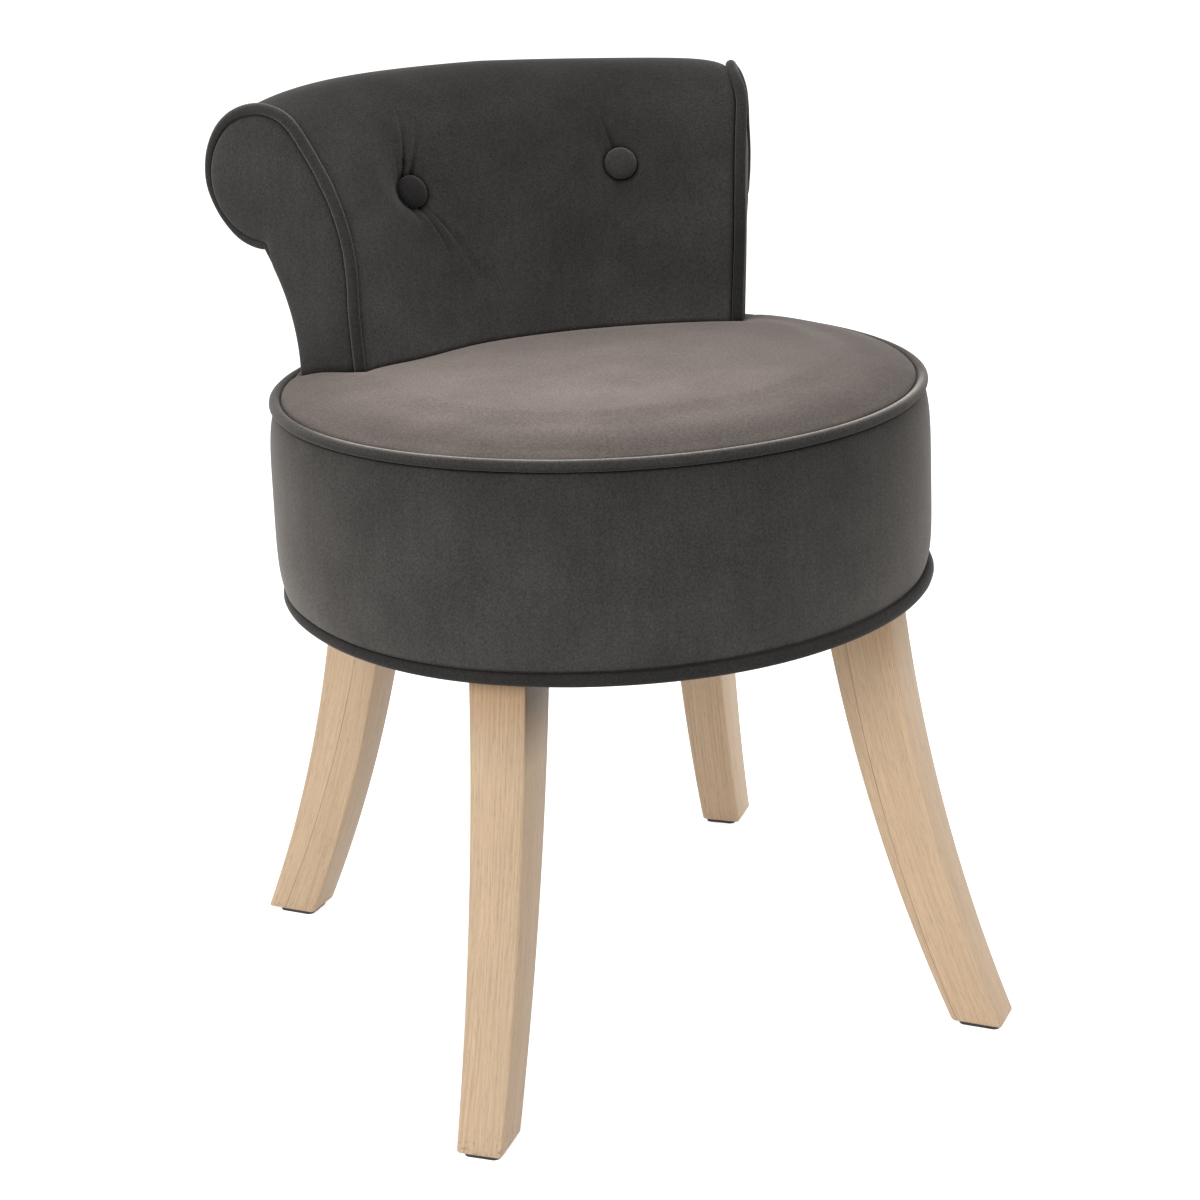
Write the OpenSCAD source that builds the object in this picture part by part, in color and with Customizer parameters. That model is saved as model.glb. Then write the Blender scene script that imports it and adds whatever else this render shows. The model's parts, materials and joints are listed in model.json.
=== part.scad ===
// Round upholstered stool with a low curved scroll back on four sabre legs.
// Millimetres, +Z up, front towards -Y. The origin is on the floor, under the middle of the
// object's overall box. Angles on the back are counted from +Y, round the back's own axis.

/* [Seat drum] */
// Radius of the top piping's centre line
seat_r = 200; // [192:1:215]
// Height of the top piping's centre line above the floor
seat_h = 396; // [380:1:430]
// Height between the two pipings' centre lines
drum_h = 120.6; // [112:0.2:135]
// How much wider the bottom piping's ring is, on the radius
drum_flare = 3.5; // [2:0.1:5]
// Rise of the crowned seat top above its seam
seat_crown = 10.3; // [6:0.1:16]
// Swell of the band between its two seams
band_bulge = 4; // [2:0.1:6]
// Diameter of the top piping
piping_d = 7.4; // [6:0.1:9]
// Diameter of the bottom piping
hem_piping_d = 8.6; // [7:0.1:10]

/* [Drum frame] */
// Thickness of the base board
base_t = 15; // [12:0.5:18]
// Thickness of the deck board
deck_t = 12; // [9:0.5:15]
// Thickness of the bent hoop between the two boards
hoop_t = 5; // [3:0.5:6]
// Depth of the foam pad at its seam
pad_depth = 35; // [28:0.5:42]
// Corner block's width across the leg
block_w = 60; // [52:1:66]
// Corner block's depth along the leg's plane
block_d = 36; // [32:1:40]

/* [Legs] */
// Direction of the legs' planes, from the X axis
leg_angle = 47.6; // [44:0.2:50]
// Distance of the legs' tops inside the top piping's radius
leg_inset = 33.3; // [31:0.1:36]
// How far each foot stands out from the leg's top
leg_sweep = 81; // [60:1:95]
// Radius of the leg's bend
leg_bend_r = 1055; // [900:5:1400]
// How far the four legs stand forward of the seat's centre
leg_shift = 3.5; // [0:0.1:5]
// Leg's depth along its plane at the top
leg_top_d = 38.4; // [34:0.1:40]
// Leg's depth along its plane at the foot
leg_foot_d = 32.4; // [28:0.1:36]
// Leg's width across its plane at the top
leg_top_w = 35; // [32:0.1:36]
// Leg's width across its plane at the foot
leg_foot_w = 28.4; // [25:0.1:32]
// Thickness of a glide
glide_t = 2.8; // [2:0.1:4]
// Margin of a glide inside the foot's edges
glide_margin = 3.2; // [2:0.1:5]

/* [Back shape] */
// Plan radius of the front seam
back_r = 258; // [245:1:275]
// Half of the back's angle in plan
back_half_angle = 31; // [28:0.2:32]
// Depth of the back at the seat, from front seam to rear seam
back_depth = 47; // [45:0.5:50]
// Gap from the back's rear corners to the top piping's ring
back_margin = 11.4; // [9:0.2:16]
// Radius of the scroll's roll
roll_r = 43; // [40:0.5:46]
// Roll's centre behind the front seam
roll_offset = 72; // [68:0.5:76]
// Roll's centre above the top piping
roll_rise = 126; // [120:1:140]
// Height above the top piping where the front starts to lean back
front_rise = 59; // [50:1:64]
// Radius of the hollow behind the neck
neck_r = 130.5; // [125:0.5:150]
// Height above the top piping where the hollow starts
neck_rise = 8; // [4:0.5:14]

/* [Back padding] */
// Foam on the front and round the roll
back_foam_t = 15; // [12:0.5:17]
// Lining board under the foam
board_t = 3; // [2:0.5:4]
// Swell of the padding over the roll, midway
roll_crown = 12; // [6:0.5:14]
// Swell of the padding on the front, midway
front_crown = 5; // [2:0.5:7]
// Swell of each end's padding at the roll
end_crown = 9; // [5:0.5:12]
// Thickness of the end pads' foam
end_pad_t = 6; // [4:0.5:9]
// Angle of each button from the middle
button_angle = 16; // [12:0.5:18]
// Height of the buttons above the top piping
button_rise = 112; // [100:1:116]
// Diameter of a covered button
button_d = 21.5; // [18:0.5:25]
// Depth of a button's tuft below the seam line
tuft_depth = 7; // [4:0.5:9]
// Reach of the tuft's pull round a button
tuft_reach = 38; // [28:1:42]

/* [Back frame] */
// Thickness of the ribs
rib_t = 15; // [12:0.5:18]
// Height of the bottom rail
rail_h = 40; // [34:1:46]
// Radius of the round rail in the roll
roll_rail_r = 11; // [8:0.5:13]
// Angle of the outer back bolts from the middle
back_bolt_angle = 13; // [12:0.5:14]
// Angle of the inner back bolts from the middle
back_bolt_angle_inner = 5; // [4:0.5:6]

/* [Sheets and fasteners] */
// Thickness of the velvet
velvet_t = 1.5; // [1:0.1:2]
// Thickness of the seam allowances
seam_t = 1; // [0.8:0.1:1.2]
// Width of the end pipings' seam allowance
seam_w = 10; // [8:0.5:12]
// Thickness of the dust cover
dust_t = 0.6; // [0.4:0.1:0.8]
// Clearance between cloth and what it covers
skin_gap = 0.3; // [0.2:0.05:0.4]
// Clearance round bolts, nuts and pins
bolt_gap = 0.1; // [0.05:0.05:0.3]
// Radius of the bolts
bolt_r = 4; // [3:0.5:4]
// Radius of a T-nut's flange
nut_r = 11; // [9:0.5:11.5]
// Thickness of a T-nut's flange
nut_t = 1.5; // [1:0.1:2]
// Radius of a wood screw's shank
screw_r = 1.8; // [1.5:0.1:2.2]
// Length of a wood screw
screw_l = 40; // [34:1:44]
// Number of staples round the dust cover
staple_count = 20; // [12:1:28]

/* [Hidden] */

velvet = "dimgray";
velvet_dark = "#3b3733";
foam_colour = "khaki";
wood_pale = "burlywood";
ply = "peru";
steel = "silver";
black = "#1c1c1c";

$fn = 96;
sliver = 0.01;
big = 900;

// Shapes of one piece run into each other by this much
fuse = 0.5;
// Cuts start this far outside what they cut
clear = 1;

// Levels of the drum
base_drop = 1.4;
base_z = seat_h - drum_h - base_drop;
base_top = base_z + base_t;
deck_top = seat_h - pad_depth;
deck_z = deck_top - deck_t;
piping_r = piping_d / 2;
hem_piping_r = hem_piping_d / 2;
hem_z = seat_h - drum_h;
hem_r = seat_r + drum_flare;
board_r = seat_r - piping_r - skin_gap;
dust_z = base_z - dust_t;
leg_top = dust_z;

// Seam allowances of the two seat pipings
flange_in_r = board_r + skin_gap;
flange_out_r = flange_in_r + seam_t;
flange_w = 13;
flange_z = seat_h - flange_w;
hem_flange_w = 9;
hem_flange_in_r = seat_r - hem_flange_w;
hem_flange_out_r = hem_r - hem_piping_r + seam_t + skin_gap;

// Band's outline, from the bottom seam to the top one
band_z0 = hem_z + hem_piping_r + skin_gap;
band_z1 = seat_h - piping_r - skin_gap;
band_seam_bottom_r = hem_r - seam_t;
band_seam_top_r = seat_r;
band_power = 6;
band_steps = 16;

// Seat crown
crown_edge_rise = 2.2;
crown_z = seat_h + crown_edge_rise;
crown_r = board_r - skin_gap;
crown_power = 8;
crown_spread = 0.6;
crown_steps = 14;

// Legs
leg_signs = [[-1, -1], [1, -1], [-1, 1], [1, 1]];
leg_top_reach = seat_r - leg_inset;
leg_steps = 24;
leg_bore_depth = 32;
// Top of the legs' bolts above the base board's underside
bolt_rise = 24;
bolt_well = 38;

// Back, as a section in distance behind the front seam and height
roll_z = seat_h + roll_rise;
front_z = seat_h + front_rise;
neck_z = seat_h + neck_rise;
button_z = seat_h + button_rise;
front_dz = roll_z - front_z;
front_bend_r = (roll_offset * roll_offset + front_dz * front_dz - roll_r * roll_r)
    / (2 * (roll_offset - roll_r));
front_bend_angle = asin(front_dz / (front_bend_r - roll_r));
neck_c = [back_depth + neck_r, neck_z];
roll_c = [roll_offset, roll_z];
foam_end_angle = -60;

// Insets of the back's layers from its seam line; facet_gap clears the flats of the padded skins
facet_gap = 1;
foam_inset = velvet_t + skin_gap;
foam_inner_inset = foam_inset + back_foam_t;
board_inset = foam_inner_inset + facet_gap + skin_gap;
rib_step_inset = foam_inset + facet_gap;
rib_inset = board_inset + board_t + skin_gap;
rear_lining_t = 0.5;
rear_inset = velvet_t + rear_lining_t;
rib_rear_inset = rear_inset + skin_gap;

// Back's place: its rear corners keep back_margin to the top piping's ring
corner_r = back_r + back_depth;
corner_x = corner_r * sin(back_half_angle);
corner_reach = seat_r - back_margin;
back_y = sqrt(corner_reach * corner_reach - corner_x * corner_x) - corner_r * cos(back_half_angle);

// Levels out from an end's seam plane
end_flange_out = -seam_t;
end_flange_in = -2 * seam_t;
end_pad_in = end_flange_in - end_pad_t;
end_foam_in = end_pad_in - skin_gap;
end_cover_in = -piping_r - skin_gap;
end_cover_out = 1;
rib_in = end_pad_in - rib_t;

// Bottom rail
rail_front_r = back_r + rib_inset;
rail_rear_r = back_r + back_depth - rib_rear_inset;
rail_mid_r = (rail_front_r + rail_rear_r) / 2;
rail_top = deck_top + rail_h;
rail_end_gap = 0.2;

function lerp(a, b, t) = a + (b - a) * t;
function circle_point(c, r, a) = [c[0] + r * cos(a), c[1] + r * sin(a)];
// Where two circles cross, on the left of the line from the first centre to the second
function crossing(c0, r0, c1, r1) =
    let (
        d = norm(c1 - c0),
        u = (c1 - c0) / d,
        a = (r0 * r0 - r1 * r1 + d * d) / (2 * d),
        h = sqrt(r0 * r0 - a * a)
    )
    [c0[0] + a * u[0] + h * u[1], c0[1] + a * u[1] - h * u[0]];
function angle_at(c, p) = atan2(p[1] - c[1], p[0] - c[0]);

// Band radius at height share v, and the crown's height at radius r
function band_radius(v) = lerp(band_seam_bottom_r, band_seam_top_r, v)
    + band_bulge * (1 - pow(abs(2 * v - 1), band_power));
function crown_height(r) = crown_z + seat_crown * (1 - pow(r / crown_r, crown_power));
function crown_points(drop) =
    [for (i = [0:crown_steps]) let (r = crown_r * pow(i / crown_steps, crown_spread))
        [r, crown_height(r) - drop]];

// Back section's parts at an inset i: front line and bend, roll, hollow
function front_bend(i, n) = [for (k = [0:n]) let (a = front_bend_angle * k / n)
    [front_bend_r - (front_bend_r - i) * cos(a), front_z + (front_bend_r - i) * sin(a)]];
function roll_arc(i, a0, a1, n) =
    [for (k = [0:n]) circle_point(roll_c, roll_r - i, lerp(a0, a1, k / n))];
roll_start = 180 - front_bend_angle;
function neck_point(i, j) = crossing(roll_c, roll_r - i, neck_c, neck_r + j);
function neck_angle(i, j) = angle_at(roll_c, neck_point(i, j));
function hollow_from(p, j, n) = let (a0 = angle_at(neck_c, p), b0 = a0 < 0 ? a0 + 360 : a0)
    [for (k = [0:n]) circle_point(neck_c, neck_r + j, lerp(b0, 180, k / n))];

// Closed outline of an end at an inset i
bend_steps = 16;
roll_steps = 36;
foam_roll_steps = 24;
step_steps = 6;
hollow_steps = 12;
roll_lead = 4;
function end_outline(i) = concat(
    [[i, deck_top]],
    front_bend(i, bend_steps),
    roll_arc(i, roll_start - roll_lead, neck_angle(i, i) + 1, roll_steps),
    hollow_from(neck_point(i, i), i, hollow_steps),
    [[back_depth - i, deck_top]]
);

rib_neck = neck_point(rib_step_inset, rib_rear_inset);
rib_neck_angle = angle_at(roll_c, rib_neck);
// Rib outline: inside the lining board, stepping out to the cover where the foam ends
function rib_outline() = concat(
    [[rib_inset, deck_top]],
    front_bend(rib_inset, bend_steps),
    roll_arc(rib_inset, roll_start - roll_lead, foam_end_angle, foam_roll_steps),
    roll_arc(rib_step_inset, foam_end_angle - 1, rib_neck_angle + 1, step_steps),
    hollow_from(rib_neck, rib_rear_inset, hollow_steps),
    [[back_depth - rib_rear_inset, deck_top]]
);

function behind_seam(pts) = [for (p = pts) [back_r + p[0], p[1]]];

module at_frame() { translate([0, frame_y, 0]) children(); }
module at_back() { at_frame() translate([0, back_y, 0]) children(); }
module on_side(side) {
    if (side > 0) children();
    else mirror([1, 0, 0]) children();
}
// Right end's frame: X runs rearwards from the back's axis, Y up, Z outwards from the seam plane
module at_end(d) { at_angle(back_half_angle) translate([0, 0, d]) children(); }
// Upright section turned to an angle from the middle, centred on its own plane
module at_angle(a) { rotate([0, 0, 90 - a]) rotate([90, 0, 0]) children(); }

spare_angle = 3;
trim_h = 120;
// A section swept round the back's axis and cut square at both ends, d out from the seam plane
module swept(d) {
    half = back_half_angle + spare_angle;
    difference() {
        rotate([0, 0, 90 - half]) rotate_extrude(angle = 2 * half, $fn = 180) children();
        for (side = [-1, 1])
            on_side(side) at_end(d) translate([-sliver, -sliver, 0]) cube([big, big, trim_h]);
    }
}

// Legs' places: s is the leg's pair of signs
module at_leg(s) {
    at_frame() translate([0, -leg_shift, 0])
        mirror([s[0] < 0 ? 1 : 0, 0, 0]) mirror([0, s[1] < 0 ? 1 : 0, 0])
            rotate([0, 0, leg_angle]) children();
}
module at_leg_tops() { for (s = leg_signs) at_leg(s) translate([leg_top_reach, 0, 0]) children(); }

// Leg's bend: an arc through the foot's centre and the top's centre, hollow on its outer side
leg_chord = [-leg_sweep, leg_top - glide_t];
leg_mid = [leg_top_reach + leg_sweep / 2, (leg_top + glide_t) / 2];
leg_sag = sqrt(leg_bend_r * leg_bend_r - pow(norm(leg_chord) / 2, 2));
leg_c = leg_mid + leg_sag * [leg_chord[1], -leg_chord[0]] / norm(leg_chord);
function leg_reach(z) = leg_c[0] - sqrt(leg_bend_r * leg_bend_r - pow(z - leg_c[1], 2));
function leg_share(z) = (z - glide_t) / (leg_top - glide_t);
function leg_side(k) = [for (i = [0:leg_steps])
    let (z = lerp(glide_t, leg_top, k > 0 ? i / leg_steps : 1 - i / leg_steps))
    [leg_reach(z) + k * lerp(leg_foot_d, leg_top_d, leg_share(z)) / 2, z]];

module leg(s) {
    color(wood_pale) at_leg(s) difference() {
        intersection() {
            rotate([90, 0, 0]) translate([0, 0, -leg_top_w]) linear_extrude(2 * leg_top_w)
                polygon(concat(leg_side(1), leg_side(-1)));
            rotate([90, 0, 90]) linear_extrude(leg_top_reach + leg_sweep + leg_foot_d)
                polygon([[-leg_foot_w / 2, glide_t], [leg_foot_w / 2, glide_t],
                    [leg_top_w / 2, leg_top], [-leg_top_w / 2, leg_top]]);
        }
        translate([leg_top_reach, 0, leg_top - leg_bore_depth])
            cylinder(r = bolt_r + bolt_gap, h = leg_bore_depth + clear);
        translate([leg_reach(glide_t), 0, glide_t - clear])
            cylinder(r = nail_r + bolt_gap, h = nail_l + clear);
    }
}

// Glide with its nail
nail_r = 1.2;
nail_head_r = 3;
nail_head_t = 1.2;
nail_l = 16;
nail_sink = 0.4;
glide_round = 4;
module glide(s) {
    w = leg_foot_w - 2 * glide_margin;
    d = leg_foot_d - 2 * glide_margin;
    color(black) at_leg(s) translate([leg_reach(glide_t), 0, 0]) difference() {
        union() {
            translate([-d / 2 + glide_round, -w / 2, 0]) cube([d - 2 * glide_round, w, glide_t]);
            translate([-d / 2, -w / 2 + glide_round, 0]) cube([d, w - 2 * glide_round, glide_t]);
            for (x = [-1, 1], y = [-1, 1])
                translate([x * (d / 2 - glide_round), y * (w / 2 - glide_round), 0])
                    cylinder(r = glide_round, h = glide_t);
        }
        translate([0, 0, -clear]) {
            cylinder(r = nail_r + bolt_gap, h = glide_t + 2 * clear);
            cylinder(r = nail_head_r + bolt_gap, h = clear + nail_sink + nail_head_t);
        }
    }
}
module glide_nails() {
    color(steel) for (s = leg_signs) at_leg(s) translate([leg_reach(glide_t), 0, 0]) {
        translate([0, 0, nail_sink]) {
            cylinder(r = nail_head_r, h = nail_head_t);
            cylinder(r = nail_r, h = glide_t + nail_l - nail_sink - clear);
        }
    }
}

// Hanger bolts from the legs up through the base board into T-nuts
nut_wall = 1.2;
nut_barrel_r = bolt_r + nut_wall;
nut_barrel_l = 10;
prong_l = 6;
prong_w = 2.4;
prong_t = 0.9;
prong_margin = 1.6;
prong_r = nut_r - prong_margin;
prong_start = 60;
prong_count = 3;
module leg_hanger_bolts() {
    low = leg_top - leg_bore_depth + clear;
    color(steel) at_leg_tops() translate([0, 0, low]) cylinder(r = bolt_r, h = base_z + bolt_rise - low);
}
// A T-nut whose flange rests on z = 0, with its barrel and prongs below
module t_nut(gap) {
    difference() {
        union() {
            cylinder(r = nut_r + gap, h = nut_t + gap);
            translate([0, 0, -nut_barrel_l - gap])
                cylinder(r = nut_barrel_r + gap, h = nut_barrel_l + gap + fuse);
            for (i = [0:prong_count - 1]) rotate([0, 0, prong_start + i * 360 / prong_count])
                translate([prong_r - prong_t / 2 - gap, -prong_w / 2 - gap, -prong_l - gap])
                    cube([prong_t + 2 * gap, prong_w + 2 * gap, prong_l + gap + fuse]);
        }
        if (gap == 0) translate([0, 0, -nut_barrel_l - clear])
            cylinder(r = bolt_r + bolt_gap, h = nut_barrel_l + nut_t + 2 * clear);
    }
}
module leg_t_nuts() { color(steel) at_leg_tops() translate([0, 0, base_top]) t_nut(0); }

// Boards, hoop and blocks of the drum
base_screw_margin = 6;
module base_screw_places() {
    at_leg_tops() for (y = [-1, 1]) translate([0, y * (block_w / 2 - base_screw_margin), base_z]) children();
}
module deck_screw_places() { at_leg_tops() translate([0, 0, deck_top]) children(); }
screw_head_r = 3.8;
screw_head_t = 2.4;
// A wood screw with its head flush at z = 0 and its shank above, or the space for one
module wood_screw(gap) {
    over = gap > 0 ? clear : 0;
    translate([0, 0, -gap]) cylinder(r = screw_r + gap, h = screw_l + 2 * gap);
    translate([0, 0, -over]) cylinder(r = screw_head_r + gap, h = screw_head_t + gap + over);
}
module base_screws() { color(steel) base_screw_places() wood_screw(0); }
module deck_screws() { color(steel) deck_screw_places() rotate([180, 0, 0]) wood_screw(0); }

module seat_base_board() {
    color(ply) difference() {
        at_frame() translate([0, 0, base_z]) cylinder(r = board_r, h = base_t);
        at_leg_tops() translate([0, 0, base_z - clear])
            cylinder(r = bolt_r + bolt_gap, h = base_t + 2 * clear);
        at_leg_tops() translate([0, 0, base_top]) t_nut(bolt_gap);
        base_screw_places() wood_screw(bolt_gap);
        staple_places() staple(bolt_gap);
    }
}
module seat_hoop() {
    color(ply) at_frame() translate([0, 0, base_top]) difference() {
        cylinder(r = board_r, h = deck_z - base_top);
        translate([0, 0, -clear]) cylinder(r = board_r - hoop_t, h = deck_z - base_top + 2 * clear);
    }
}
module seat_deck_board() {
    color(ply) difference() {
        at_frame() translate([0, 0, deck_z]) cylinder(r = board_r, h = deck_t);
        deck_screw_places() rotate([180, 0, 0]) wood_screw(bolt_gap);
        back_bolt_places() translate([0, 0, deck_z - clear])
            cylinder(r = bolt_r + bolt_gap, h = deck_t + 2 * clear);
    }
}
block_gap = 0.4;
module corner_block(s) {
    color(wood_pale) difference() {
        intersection() {
            at_leg(s) translate([leg_top_reach - block_d / 2, -block_w / 2, base_top])
                cube([block_d, block_w, deck_z - base_top]);
            at_frame() cylinder(r = board_r - hoop_t - skin_gap, h = big);
        }
        at_leg_tops() translate([0, 0, base_top - clear])
            cylinder(r = nut_r + block_gap, h = clear + nut_t + block_gap);
        at_leg_tops() translate([0, 0, base_z]) cylinder(r = bolt_r + clear, h = bolt_well);
        base_screw_places() wood_screw(bolt_gap);
        deck_screw_places() rotate([180, 0, 0]) wood_screw(bolt_gap);
    }
}

// Dust cover under the base, stapled through the bottom piping's seam allowance
staple_w = 10;
staple_wire = 0.7;
staple_leg = 8;
staple_r = (hem_flange_in_r + board_r) / 2;
dust_margin = 1.5;
dust_edge_r = board_r - dust_margin;
flange_under = base_z - seam_t;
module staple_places() {
    at_frame() for (i = [0:staple_count - 1]) rotate([0, 0, (i + 0.5) * 360 / staple_count])
        translate([staple_r, 0, flange_under - dust_t]) children();
}
// A staple hanging from z = 0: crown below, legs up
module staple(gap) {
    thick = staple_wire + 2 * gap;
    for (y = [-1, 1]) translate([-thick / 2, y * (staple_w - staple_wire) / 2 - thick / 2, -gap])
        cube([thick, thick, staple_leg + 2 * gap]);
    if (gap == 0) translate([-staple_wire / 2, -staple_w / 2, -staple_wire])
        cube([staple_wire, staple_w, staple_wire + sliver]);
}
module dust_cover_staples() { color(steel) staple_places() staple(0); }
module dust_cover() {
    step_r = hem_flange_in_r - skin_gap;
    color(black) difference() {
        at_frame() rotate_extrude() polygon([[0, dust_z], [0, base_z], [step_r, base_z],
            [step_r, flange_under], [dust_edge_r, flange_under], [dust_edge_r, flange_under - dust_t],
            [step_r - dust_t, flange_under - dust_t], [step_r - dust_t, dust_z]]);
        at_leg_tops() translate([0, 0, dust_z - clear])
            cylinder(r = bolt_r + bolt_gap, h = dust_t + 2 * clear);
        staple_places() staple(bolt_gap);
    }
}

// Upholstery of the drum
low_swell = 0.7;
end_low_swell = 0.35;
socket_h = 95;
// Space of the back where it passes down through the seat's top, at its own height
module back_socket() {
    front = front_crown * low_swell + skin_gap;
    at_back() {
        swept(end_cover_out + end_crown * end_low_swell + skin_gap)
            translate([back_r - front, deck_top - sliver])
                square([front + back_depth + skin_gap, socket_h]);
        for (side = [-1, 1], s = [0, back_depth]) on_side(side)
            rotate([0, 0, 90 - back_half_angle]) translate([back_r + s, 0, deck_top - sliver])
                cylinder(r = piping_r + skin_gap, h = socket_h);
    }
}
module seat_top_cover() {
    color(velvet) difference() {
        at_frame() rotate_extrude()
            polygon(concat(crown_points(0), [for (i = [crown_steps:-1:0]) crown_points(velvet_t)[i]]));
        back_socket();
    }
}
module seat_foam() {
    color(foam_colour) difference() {
        at_frame() rotate_extrude()
            polygon(concat([[0, deck_top], [crown_r, deck_top]],
                [for (i = [crown_steps:-1:0]) crown_points(velvet_t + skin_gap)[i]]));
        back_socket();
    }
}
function band_points(inset) = [for (i = [0:band_steps]) let (v = (1 - cos(180 * i / band_steps)) / 2)
    [band_radius(v) - inset, lerp(band_z0, band_z1, v)]];
module seat_band_cover() {
    outer = band_points(0);
    inner = band_points(velvet_t);
    color(velvet) at_frame() rotate_extrude()
        polygon(concat(outer, [for (i = [band_steps:-1:0]) inner[i]]));
}
module seat_band_padding() {
    outer = band_points(velvet_t + skin_gap);
    color(foam_colour) at_frame() rotate_extrude()
        polygon(concat(outer, [
            [flange_out_r + skin_gap, band_z1], [flange_out_r + skin_gap, flange_z - skin_gap],
            [board_r + skin_gap, flange_z - skin_gap], [board_r + skin_gap, band_z0]]));
}
module seat_piping_top() {
    color(velvet_dark) at_frame() rotate_extrude() {
        translate([seat_r, seat_h]) circle(r = piping_r, $fn = 40);
        translate([flange_in_r, flange_z]) square([seam_t, flange_w - clear]);
    }
}
module seat_piping_bottom() {
    color(velvet_dark) difference() {
        at_frame() rotate_extrude() {
            translate([hem_r, hem_z]) circle(r = hem_piping_r, $fn = 40);
            translate([hem_flange_in_r, flange_under]) square([hem_flange_out_r - hem_flange_in_r, seam_t]);
        }
        staple_places() staple(bolt_gap);
    }
}

// Padded skins of the back: a grid of rows along the section by columns round the axis.
// A row is on the front line (its height), the bend or the roll (its angle)
front_rows = 4;
bend_rows_below = 3;
bend_rows_above = 4;
roll_rows = 11;
neck_rows = 2;
ON_FRONT = 0;
ON_BEND = 1;
ON_ROLL = 2;
// A button's seat on the section, and the flat square of the skin under it
button_lean = asin((button_z - front_z) / front_bend_r);
button_cell = button_d / 2 * 1.08;
button_row = button_cell / front_bend_r * 180 / PI;
tuft_flat = button_cell * sqrt(2) + fuse;
foam_section = concat(
    [for (k = [0:front_rows - 1]) [ON_FRONT, lerp(deck_top, front_z, k / front_rows)]],
    [for (k = [0:bend_rows_below]) [ON_BEND, lerp(0, button_lean - button_row, k / bend_rows_below)]],
    [[ON_BEND, button_lean]],
    [for (k = [0:bend_rows_above])
        [ON_BEND, lerp(button_lean + button_row, front_bend_angle, k / bend_rows_above)]],
    [for (k = [1:roll_rows]) [ON_ROLL, lerp(roll_start, foam_end_angle, k / roll_rows)]]
);
function cover_section(i) = concat(
    foam_section,
    [for (k = [1:neck_rows]) [ON_ROLL, lerp(foam_end_angle, neck_angle(i, 0), k / neck_rows)]]
);
// Section point and its outward normal for one row at an inset i
function row_point(row, i) =
    row[0] == ON_FRONT ? [i, row[1]]
    : row[0] == ON_BEND ? circle_point([front_bend_r, front_z], front_bend_r - i, 180 - row[1])
    : circle_point(roll_c, roll_r - i, row[1]);
function row_normal(row) =
    row[0] == ON_FRONT ? [-1, 0]
    : row[0] == ON_BEND ? [-cos(row[1]), sin(row[1])]
    : [cos(row[1]), sin(row[1])];
// Swell along the section: little at the seat, most over the roll's top, none at the neck
roll_front_share = 0.8;
roll_peak = 0.25;
function roll_swell(t) = t < roll_peak ? lerp(roll_front_share, 1, t / roll_peak)
    : 1 - pow((t - roll_peak) / (1 - roll_peak), 2);
function row_swell(row) =
    row[0] == ON_FRONT ? front_crown * lerp(low_swell, 1, (row[1] - deck_top) / (front_z - deck_top))
    : row[0] == ON_BEND ? lerp(front_crown, roll_crown * roll_front_share, pow(row[1] / front_bend_angle, 2))
    : roll_crown * roll_swell((roll_start - row[1]) / (roll_start - neck_angle(0, 0)));
function col_swell(u) = 1 - pow(abs(u), 3);

// Columns, as shares of the way to the end: closer round a button
button_seat = row_point([ON_BEND, button_lean], 0);
button_seat_r = back_r + button_seat[0];
button_last = end_angle(button_seat_r, end_cover_in);
button_share = button_angle / button_last;
button_step = button_cell / button_seat_r * 180 / PI / button_last;
wide_share = button_share + 2 * button_step;
half_cols = concat(
    [0, 0.4 * button_share],
    [for (k = [-2:2]) button_share + k * button_step],
    [for (t = [0.42, 0.78, 1]) lerp(wide_share, 1, t)]
);
cols = concat([for (i = [len(half_cols) - 1:-1:1]) -half_cols[i]], half_cols);

// The way that a button faces, and the pull of its tuft at a distance: flat, then a rounded cone
function button_axis(side) = let (a = side * button_angle)
    [-cos(button_lean) * sin(a), -cos(button_lean) * cos(a), sin(button_lean)];
function button_base(side) = let (a = side * button_angle)
    [button_seat_r * sin(a), button_seat_r * cos(a), button_seat[1]];
function off_axis(p, side) = let (v = p - button_base(side), along = v * button_axis(side))
    along < -roll_r ? big : sqrt(max(v * v - along * along, 0));
function tuft_pull(rho) = let (t = (rho - tuft_flat) / (tuft_reach - tuft_flat))
    t <= 0 ? 1 : t >= 1 ? 0 : pow(1 - t, 2);
// One skin's grid over a section at an inset i; d is where it stops, out from the seam plane
function end_angle(r, d) = back_half_angle + asin(d / r);
function skin(section, i, d, swell) = [for (row = section)
    let (p = row_point(row, i), n = row_normal(row), r = back_r + p[0], last = end_angle(r, end_cover_in))
    [for (u = cols)
        let (
            a = abs(u) < 1 ? u * last : u * end_angle(r, d),
            bulge = swell * row_swell(row) * col_swell(min(1, abs(a) / last)),
            out = [n[0] * sin(a), n[0] * cos(a), n[1]],
            plain = [r * sin(a), r * cos(a), p[1]],
            near = a < 0 ? -1 : 1,
            depth = swell * (tuft_depth + bulge) * tuft_pull(off_axis(plain, near))
        )
        plain + bulge * out - depth * button_axis(near)]];

// Frame origin: the middle of the overall box, in plan
foot_reach = leg_shift + (leg_reach(glide_t) + leg_foot_d / 2) * sin(leg_angle)
    + leg_foot_w / 2 * cos(leg_angle);
front_reach = max(hem_r + hem_piping_r, foot_reach);
rear_reach = back_y + back_r
    + max([for (row = cover_section(0)) row_point(row, 0)[0] + row_swell(row) * row_normal(row)[0]]);
frame_y = (front_reach - rear_reach) / 2;

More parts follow.
